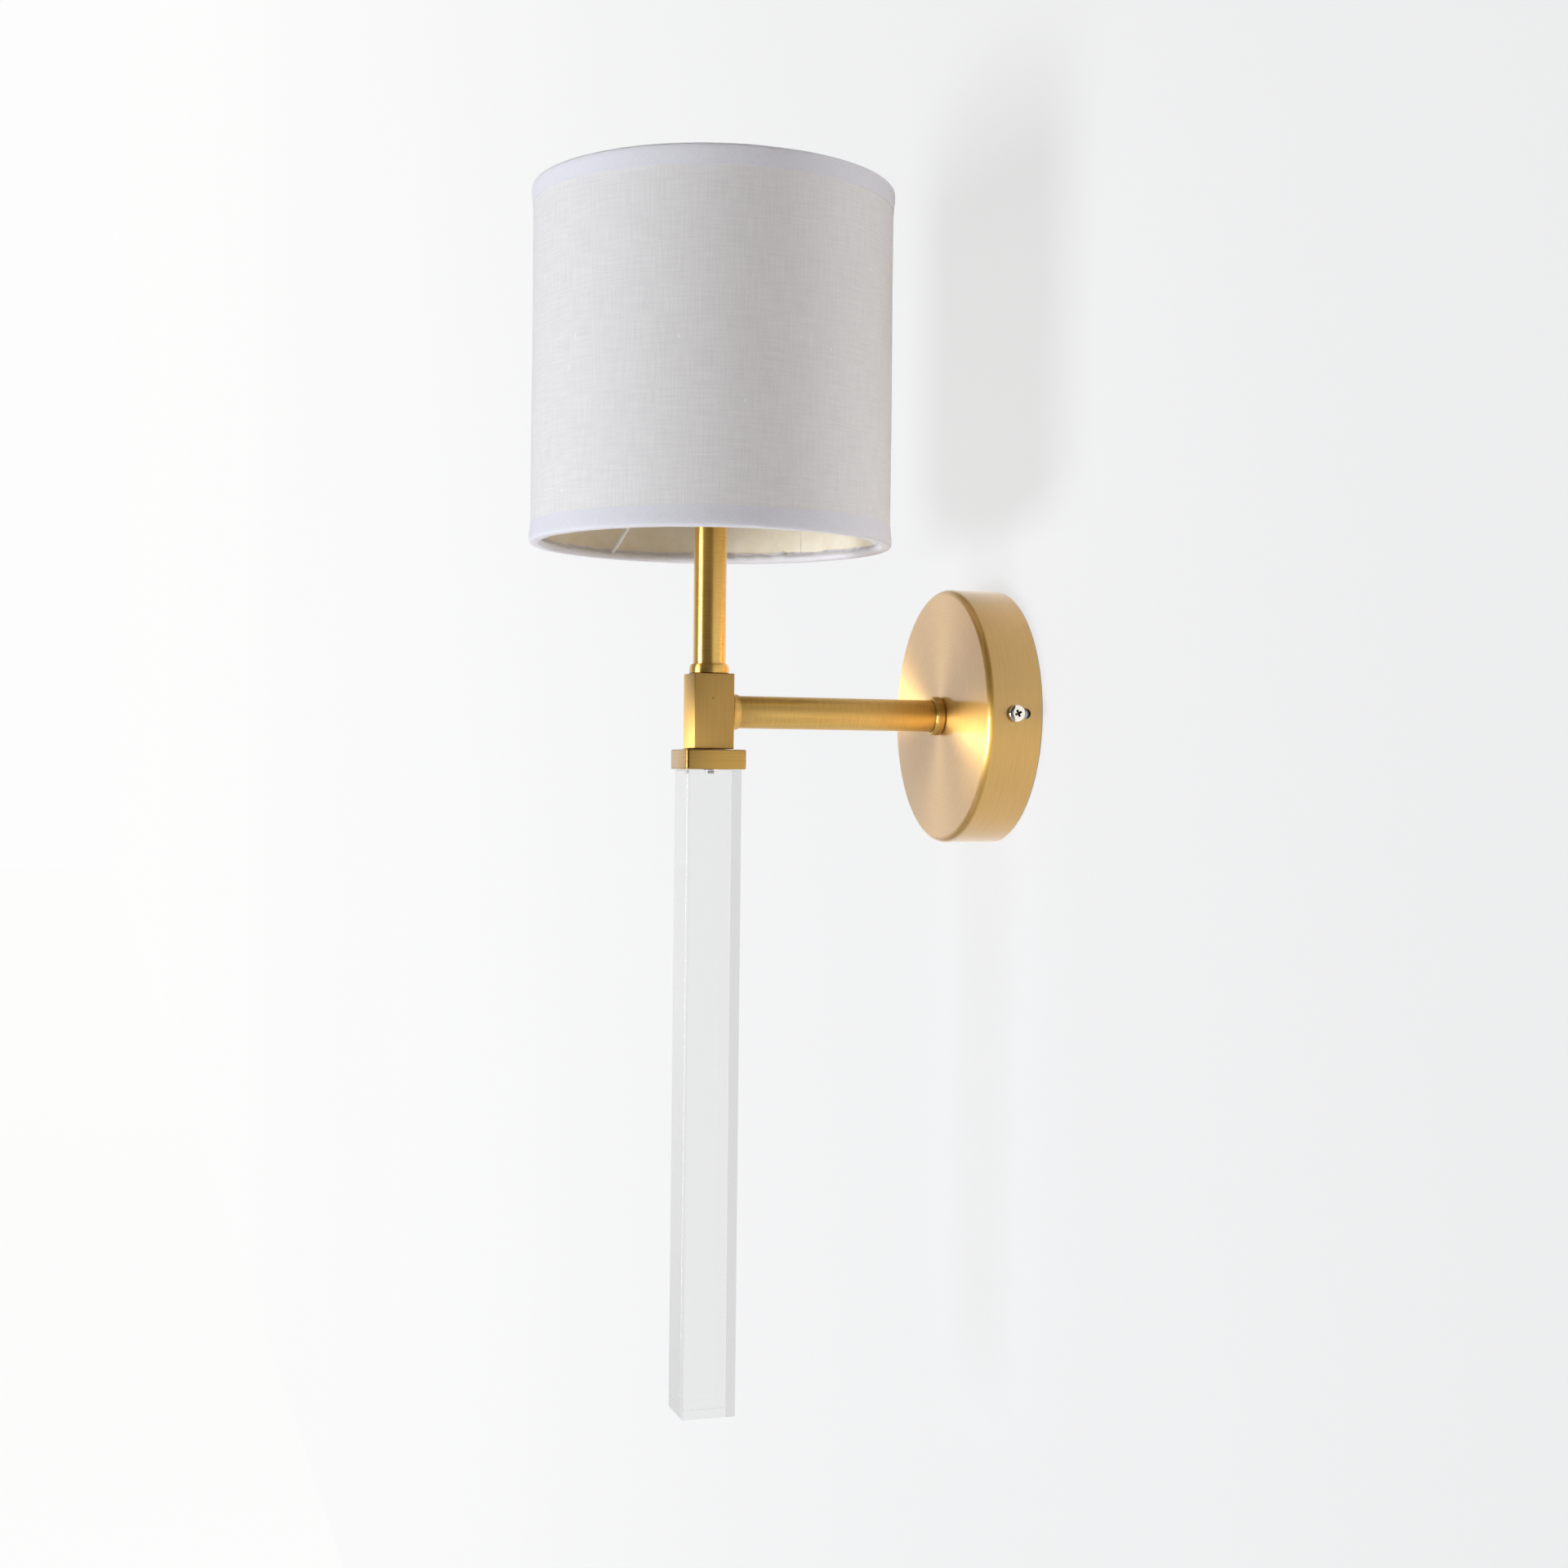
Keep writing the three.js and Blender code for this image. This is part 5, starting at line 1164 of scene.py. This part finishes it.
# %% The lampholder
base_low, base_high = up_stem("holder_base")
bowl = arc((9, base_high - 4), 12, -70, 0, 12)
holder_base = turned("holder_base_bowl", [
    (NIPPLE_HOLE, base_low), (8.7, base_low), (9, base_low + 0.3), (9, base_low + 4), *bowl,
    (21, base_high - 0.3), (20.7, base_high), (18.8, base_high),
    *arc((9, base_high - 4), 9.8, 0, -70, 8), (NIPPLE_HOLE, base_low + 5),
], HEAD, segments=96)
body_low, body_high = up_stem("holder_body")
under, shoulder = body_low + 12, body_low + 14.5
holder_body = turned("holder_body_skirt", [
    (14.5, body_low), (20.7, body_low), (21, body_low + 0.3), (21, under), (22.6, under),
    (23, under + 0.4), (23, shoulder - 0.4), (22.6, shoulder), (19.75, shoulder),
    *thread_rings(19.75, shoulder + 0.5, body_high - 0.6, 2.5), (19.15, body_high),
    (17.55, body_high), (17.55, body_low + 1.8), (14.5, body_low + 1.8),
], HEAD, segments=144)
cut_thread(holder_body, 19.75, shoulder + 0.5, body_high - 0.6, 2.5, 0.9, HEAD)

nut_low, nut_high = up_stem("shade_ring_nut")
ring_nut = turned("nut_shade_ring", [
    (20.05, nut_low + 0.3), (20.35, nut_low), (24.0, nut_low), (24.45, nut_low + 0.45),
    (24.45, nut_high - 0.45), (24.0, nut_high), (20.35, nut_high), (20.05, nut_high - 0.3),
], HEAD, segments=144)
grooves = []
for i in range(12):
    clear_selection()
    angle = math.radians(30 * i)
    bpy.ops.mesh.primitive_cylinder_add(
        vertices=20, radius=1.7 * MM, depth=20 * MM,
        location=((HEAD[0] + 24.9 * math.cos(angle)) * MM,
                  (HEAD[1] + 24.9 * math.sin(angle)) * MM, nut_low * MM))
    grooves.append(bpy.context.object)
    apply_place(grooves[-1])
cut_away(ring_nut, join(grooves))

for piece, node, rides in ((holder_base, "holder_base", "fixed"),
                           (holder_body, "holder_body", "fixed"),
                           (ring_nut, "shade_ring_nut", "ring_nut")):
    finish_piece(piece, phenolic, smooth=30)
    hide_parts(node)
    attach(piece, rides)

# %% [markdown]
# ## The bulb
#
# The bulb is a round opal lamp with an E26 cap. The cap is thin sheet; its
# rolled thread is cut into its outside. The globe is a closed turned shell, and
# the black glass insulator and the end contact are small turned parts.

# %% The bulb
cap_low, cap_high = up_stem("bulb_cap")
BULB_PITCH = 3.6286
bulb_cap = turned("bulb_cap_thread", [
    (11, cap_low), (12.3, cap_low + 0.8),
    *thread_rings(13, cap_low + 1.0, cap_low + 4 * BULB_PITCH + 0.6, BULB_PITCH, 10),
    (12.3, cap_low + 4 * BULB_PITCH + 1.2), (12.3, cap_high - 1), (12.7, cap_high),
    (11.8, cap_high), (11.8, cap_low + 1.2), (10.5, cap_low),
], HEAD, segments=120)
cut_thread(bulb_cap, 13, cap_low + 1.0, cap_low + 4 * BULB_PITCH + 0.6, BULB_PITCH, 0.7, HEAD,
           flat=0.05)
glass_low, glass_high = up_stem("bulb_glass")
GLOBE, NECK, GLASS = 25.0, 11.0, 0.8
globe_middle = glass_high - GLOBE
neck_angle = -math.degrees(math.acos(NECK / GLOBE))
globe = turned("bulb_globe", [
    (NECK - GLASS, glass_low), (NECK, glass_low),
    (NECK, globe_middle + GLOBE * math.sin(math.radians(neck_angle)) - 1.5),
    *arc((0, globe_middle), GLOBE, neck_angle + 2, 90, 40)[:-1], (0, glass_high),
], HEAD, segments=96, open_ends=True)
thicken = globe.modifiers.new("glass", "SOLIDIFY")
thicken.thickness, thicken.offset = GLASS * MM, -1
apply_all(globe)

contact_low, contact_high = up_stem("bulb_end_contact")
tip = turned("bulb_tip", [
    (0, contact_low), (1.6, contact_low + 0.05), (3.0, contact_low + 0.2),
    (4.1, contact_low + 0.55), (4.6, contact_low + 0.95), (4.6, contact_high), (0, contact_high),
], HEAD, segments=48)
glass_foot, glass_rim = up_stem("bulb_insulator")
insulator = turned("bulb_insulator_cone", [
    (0, glass_foot), (5.1, glass_foot), (5.4, glass_foot + 0.2), (10.3, glass_rim - 1.0),
    (10.4, glass_rim - 0.7), (10.4, glass_rim), (0, glass_rim),
], HEAD, segments=64)
for piece, node, finish_, slot_, rides in (
    (bulb_cap, "bulb_cap", nickel, "nickel", "bulb"),
    (globe, "bulb_glass", opal, "opal_glass", "bulb"),
    (tip, "bulb_end_contact", nickel, "nickel", "bulb_end"),
    (insulator, "bulb_insulator", black_glass, "black_glass", "bulb"),
):
    finish_piece(piece, finish_, smooth=40)
    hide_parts(node)
    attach(piece, rides)

# %% [markdown]
# ## Small parts that keep their shape
#
# The small parts inside the canopy and the lampholder are right as they are. A
# copy of each is merged, its edges are broken with a narrow bevel, and it is
# shaded smooth where it is round.

# %% Small parts that keep their shape
def refined(name, node, width=0.15, angle=50):
    """A copy of a CAD node with merged points and narrow bevels."""
    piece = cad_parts[node].copy()
    piece.data = piece.data.copy()
    piece.name = name
    bpy.context.scene.collection.objects.link(piece)
    edit(piece, clean, lambda: bpy.ops.mesh.dissolve_limited(angle_limit=math.radians(0.5)))
    if width:
        ease = piece.modifiers.new("edges", "BEVEL")
        ease.width, ease.segments, ease.limit_method = width * MM, 2, "ANGLE"
        ease.angle_limit = math.radians(angle)
        apply_all(piece)
    return piece


SMALL_PARTS = {
    "wall_bracket": ("bracket_strip", zinc, "zinc_plated_steel", 0.3),
    "terminal_block": ("terminal_block_nylon", nylon, "nylon", 0.3),
    "earth_screw": ("screw_earth", nickel, "nickel", 0.12),
    "lock_washer": ("washer_lock", zinc, "zinc_plated_steel", 0.15),
    "lock_nut": ("nut_lock", raw_brass, "raw_brass", 0.4),
    "lead_bush": ("bush_lead", nylon, "nylon", 0.12),
    "holder_core": ("core_porcelain", porcelain, "porcelain", 0.3),
    "holder_screw_shell": ("shell_screw", nickel, "nickel", 0.1),
    "holder_centre_contact": ("contact_centre", raw_brass, "raw_brass", 0.15),
    "holder_clamp_right": ("clamp_right", raw_brass, "raw_brass", 0.2),
    "holder_clamp_left": ("clamp_left", raw_brass, "raw_brass", 0.2),
    **{f"terminal_screw_{pole}{end_}": (f"screw_terminal_{pole}{end_}", nickel, "nickel", 0.1)
       for pole in (1, 2, 3) for end_ in "ab"},
    "live_lead": ("lead_live", sleeves["live_lead"], "brown_sleeve", 0),
    "neutral_lead": ("lead_neutral", sleeves["neutral_lead"], "blue_sleeve", 0),
    "earth_lead": ("lead_earth", sleeves["earth_lead"], "green_sleeve", 0),
}
for node, (name, small_finish, small_slot, width) in SMALL_PARTS.items():
    piece = refined(name, node, width)
    finish_piece(piece, small_finish, smooth=50)
    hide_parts(node)
    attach(piece, "holder_contact" if node == "holder_centre_contact" else "fixed")

# %% [markdown]
# ## Levels of grey for the room
#
# The sconce hangs on a white wall above a pale floor, in a room that is bright on
# the far side and dim on the near side. Each list holds how bright a surface is
# from place to place: along X in metres for the wall and the floor, and along a
# direction for the room. Polished metal and the clear rod show the surroundings
# strongly, so they get levels of their own.

# %% Levels of grey
def ramp(tree, source, stops):
    """Grey levels as a smooth function of a value, from (value, level) stops."""
    low, high = stops[0][0], stops[-1][0]
    place = add_node(tree, "ShaderNodeMapRange", {
        "Value": source, "From Min": low, "From Max": high}).outputs[0]
    node = add_node(tree, "ShaderNodeValToRGB", {0: place})
    node.color_ramp.interpolation = "LINEAR"
    elements = node.color_ramp.elements
    while len(elements) < len(stops):
        elements.new(0.5)
    for element, (value, level) in zip(elements, stops):
        element.position = (value - low) / (high - low)
        element.color = (level, level, level, 1)
    return node.outputs[0]


WALL_LEVELS = [(-11, 0.975), (-5, 0.952), (-3, 0.912), (-1.97, 0.874), (-1.2, 0.822),
               (-0.8, 0.783), (-0.55, 0.763), (-0.35, 0.745), (-0.17, 0.73), (0, 0.72),
               (0.16, 0.713), (0.5, 0.69)]
FLOOR_LEVELS = [(-11, 0.965), (-5, 0.945), (-2.5, 0.925), (0, 0.7), (0.5, 0.7),
                (2.5, 0.945), (11, 0.975)]
FLOOR_THROUGH_ROD = [(-11, 0.76), (0.5, 0.74)]
MIRRORED_WALL = [(-11, 0.9), (-2, 0.9), (-0.3, 0.88), (0.25, 0.95), (0.5, 0.95), (0.9, 0.8),
                   (3, 0.4)]
MIRRORED_FLOOR = [(-11, 1.05), (-5, 0.8), (-2.5, 0.45), (-1.5, 0.27), (-0.3, 0.264),
                         (0.25, 0.285), (0.5, 0.285), (0.9, 0.24), (3, 0.12)]
ROOM_SIDEWAYS = [(-1, 1), (-0.92, 1), (-0.77, 0.7), (-0.62, 0.35), (-0.3, 0.22), (0.2, 0.16),
               (0.6, 0.08), (0.86, 0.08), (0.97, 0.2), (1, 0.4)]
ROOM_UPWARDS = [(-1, 1.4), (0, 1.1), (0.45, 0.8), (0.75, 0.35), (1, 0.25)]


def off_metal(tree):
    """One for rays that a polished surface throws back, and none for the rest."""
    rays = add_node(tree, "ShaderNodeLightPath").outputs
    return add_node(tree, "ShaderNodeMath", {
        0: rays["Is Glossy Ray"], 1: rays["Is Transmission Ray"]}, operation="SUBTRACT",
        use_clamp=True).outputs[0]


print("levels:", len(WALL_LEVELS), "on the wall,", len(FLOOR_LEVELS), "on the floor")

# %% [markdown]
# ## The wall and the floor
#
# They are a plain stage. The wall glows a little for the camera, so that it stays
# white near the sconce and still shows the soft shadow of the shade. From behind
# it is clear, so the back of the canopy can be seen. Under the canopy it is almost
# dark, so that no light leaks out of the slots for the screws.

# %% The wall and the floor
STAGE_SIDE, WALL_GAP, FLOOR_DROP = 60, 0.0005, 1.3      # m
PAPER = 0.157                           # share of the lamp's light the camera sees
WALL_BOUNCE, FLOOR_BOUNCE = 0.85, 0.4   # share of the light thrown on the sconce
BOUNCE_GLOW, BOUNCE_TINT = 0.22, "#ffeedb"
UNDER_CANOPY, RIM_COVERS = 0.12, 0.7    # level, and mm inside the canopy's edge
SHADOW_LEAK = 0.4                       # share of the shadow rays that pass through the stage
FADE_FROM, FADE_TO, FADE_LEVEL = 0.05, 0.45, 0.25       # m up the wall, in metal only


def covered(tree, place, level):
    """A level that drops to a faint one on the round of wall under the canopy."""
    far = add_node(tree, "ShaderNodeVectorMath", {0: place}, operation="LENGTH").outputs["Value"]
    outside = add_node(tree, "ShaderNodeMath", {0: far, 1: (CANOPY_RADIUS - RIM_COVERS) * MM},
                       operation="GREATER_THAN").outputs[0]
    return add_node(tree, "ShaderNodeMix", {0: outside, 2: UNDER_CANOPY, 3: level},
                    data_type="FLOAT").outputs[0]


def stage_finish(name, levels, through, mirrored, bounce):
    """A pale surface that glows for the camera and is clear from behind.

    levels are its glow along X, through is the glow that is seen through the clear
    rod, and mirrored is the glow that metal shows. bounce is how much light it
    throws on the sconce.
    """
    material = bpy.data.materials.new(name)
    material.use_nodes = True
    tree = material.node_tree
    tree.nodes.clear()
    rays = add_node(tree, "ShaderNodeLightPath").outputs
    seen = add_node(tree, "ShaderNodeMath", {0: rays["Is Camera Ray"], 1: rays["Is Glossy Ray"]},
                    operation="MAXIMUM").outputs[0]
    seen = add_node(tree, "ShaderNodeMath", {0: seen, 1: rays["Is Transmission Ray"]},
                    operation="MAXIMUM").outputs[0]
    place = add_node(tree, "ShaderNodeNewGeometry").outputs["Position"]
    split = add_node(tree, "ShaderNodeSeparateXYZ", {0: place}).outputs
    direct = ramp(tree, split["X"], levels)
    behind_rod = ramp(tree, split["X"], through)
    direct = add_node(tree, "ShaderNodeMix", {
        0: rays["Is Transmission Ray"], 2: direct, 3: behind_rod}, data_type="FLOAT").outputs[0]
    fade = add_node(tree, "ShaderNodeMapRange", {
        "Value": split["Z"], "From Min": FADE_FROM, "From Max": FADE_TO, "To Min": 1.0,
        "To Max": FADE_LEVEL}).outputs[0]
    in_metal = add_node(tree, "ShaderNodeMath", {
        0: ramp(tree, split["X"], mirrored), 1: fade}, operation="MULTIPLY").outputs[0]
    glow = add_node(tree, "ShaderNodeMix", {
        0: off_metal(tree), 2: direct, 3: in_metal}, data_type="FLOAT").outputs[0]
    shine = add_node(tree, "ShaderNodeEmission", {
        "Color": (1, 1, 1, 1), "Strength": covered(tree, place, glow)})
    dim = add_node(tree, "ShaderNodeBsdfDiffuse", {"Color": (PAPER, PAPER, PAPER, 1)})
    both = add_node(tree, "ShaderNodeAddShader", {0: shine.outputs[0], 1: dim.outputs[0]})
    plain = add_node(tree, "ShaderNodeBsdfDiffuse", {"Color": (bounce, bounce, bounce, 1)})
    fill = add_node(tree, "ShaderNodeEmission", {
        "Color": colour(BOUNCE_TINT), "Strength": covered(tree, place, BOUNCE_GLOW * bounce)})
    lit = add_node(tree, "ShaderNodeAddShader", {0: plain.outputs[0], 1: fill.outputs[0]})
    front = add_node(tree, "ShaderNodeMixShader", {
        0: seen, 1: lit.outputs[0], 2: both.outputs[0]})
    behind = add_node(tree, "ShaderNodeNewGeometry").outputs["Backfacing"]
    leak = add_node(tree, "ShaderNodeMath", {0: rays["Is Shadow Ray"], 1: SHADOW_LEAK, 2: behind},
                    operation="MULTIPLY_ADD", use_clamp=True).outputs[0]
    clear = add_node(tree, "ShaderNodeBsdfTransparent")
    surface = add_node(tree, "ShaderNodeMixShader", {
        0: leak, 1: front.outputs[0], 2: clear.outputs[0]})
    add_node(tree, "ShaderNodeOutputMaterial", {"Surface": surface.outputs[0]})
    return material


def stage_plane(name, side, place, turn, material):
    """A square of the stage, side metres wide."""
    clear_selection()
    bpy.ops.mesh.primitive_plane_add(size=side, location=place, rotation=turn)
    plane = bpy.context.object
    plane.name = name
    plane.data.materials.append(material)
    print(f"{name}: {side} m wide")


stage_plane("stage_wall", STAGE_SIDE, (0, WALL_GAP, 0), (math.pi / 2, 0, 0), stage_finish(
    "stage_wall", WALL_LEVELS, WALL_LEVELS, MIRRORED_WALL, WALL_BOUNCE))
stage_plane("stage_floor", STAGE_SIDE, (0, -STAGE_SIDE / 2, -FLOOR_DROP), (0, 0, 0), stage_finish(
    "stage_floor", FLOOR_LEVELS, FLOOR_THROUGH_ROD, MIRRORED_FLOOR, FLOOR_BOUNCE))

# %% [markdown]
# ## The softbox
#
# One large soft lamp stands in front of the sconce and below it, a little to the
# right, and its light is slightly blue. It throws the shade's soft shadow up the
# wall and makes the bright wedge on the canopy.

# %% The softbox
def lamp(name, place, aim, width, height, power, tint):
    """An oblong soft lamp aimed at a point."""
    soft = bpy.data.lights.new(name, "AREA")
    soft.color = colour(tint)[:3]
    soft.shape, soft.energy = "RECTANGLE", power
    soft.size, soft.size_y = width, height
    holder = bpy.data.objects.new(name, soft)
    bpy.context.scene.collection.objects.link(holder)
    holder.location = place
    holder.rotation_euler = (Vector(aim) - Vector(place)).to_track_quat("-Z", "Y").to_euler()
    print(f"{name}: {power} W, {width} by {height} m")


lamp("softbox", (0.12, -3.0, -0.51), (0, -0.07, 0.05), 1.2, 1.0, 88, "#f4f8ff")

# %% [markdown]
# ## The room
#
# The rest of the light comes from a sky. It is white for the camera, a soft
# gradient for metal, and slightly warm where it falls on dull surfaces.

# %% The room
ROOM_SHARE = 0.17           # of the gradient, for everything but polished metal
THROUGH_ROD, ROOM_WHITE = 0.78, 0.985
ROOM_TINT = "#fff1dc"


def room_light():
    """World light: white for the camera, a soft gradient round the room for the rest."""
    world = bpy.data.worlds.new("room")
    bpy.context.scene.world = world
    world.use_nodes = True
    tree = world.node_tree
    tree.nodes.clear()
    rays = add_node(tree, "ShaderNodeLightPath").outputs
    towards = add_node(tree, "ShaderNodeTexCoord").outputs["Generated"]
    split = add_node(tree, "ShaderNodeSeparateXYZ", {0: towards}).outputs
    side = ramp(tree, split["X"], ROOM_SIDEWAYS)
    below = ramp(tree, split["Z"], ROOM_UPWARDS)
    level = add_node(tree, "ShaderNodeMath", {0: side, 1: below}, operation="MULTIPLY").outputs[0]
    share = add_node(tree, "ShaderNodeMapRange", {
        "Value": off_metal(tree), "To Min": ROOM_SHARE}).outputs[0]
    level = add_node(tree, "ShaderNodeMath", {0: level, 1: share}, operation="MULTIPLY").outputs[0]
    level = add_node(tree, "ShaderNodeMix", {
        0: rays["Is Transmission Ray"], 2: level, 3: THROUGH_ROD}, data_type="FLOAT").outputs[0]
    strength = add_node(tree, "ShaderNodeMix", {
        0: rays["Is Camera Ray"], 2: level, 3: ROOM_WHITE}, data_type="FLOAT").outputs[0]
    tint = add_node(tree, "ShaderNodeMix", {
        0: rays["Is Diffuse Ray"], 6: (1, 1, 1, 1), 7: colour(ROOM_TINT)},
        data_type="RGBA").outputs[2]
    glow = add_node(tree, "ShaderNodeBackground", {"Color": tint, "Strength": strength})
    add_node(tree, "ShaderNodeOutputWorld", {"Surface": glow.outputs[0]})


room_light()
bpy.context.scene.view_settings.view_transform = "Standard"
print("room: white for the camera, tint", ROOM_TINT)
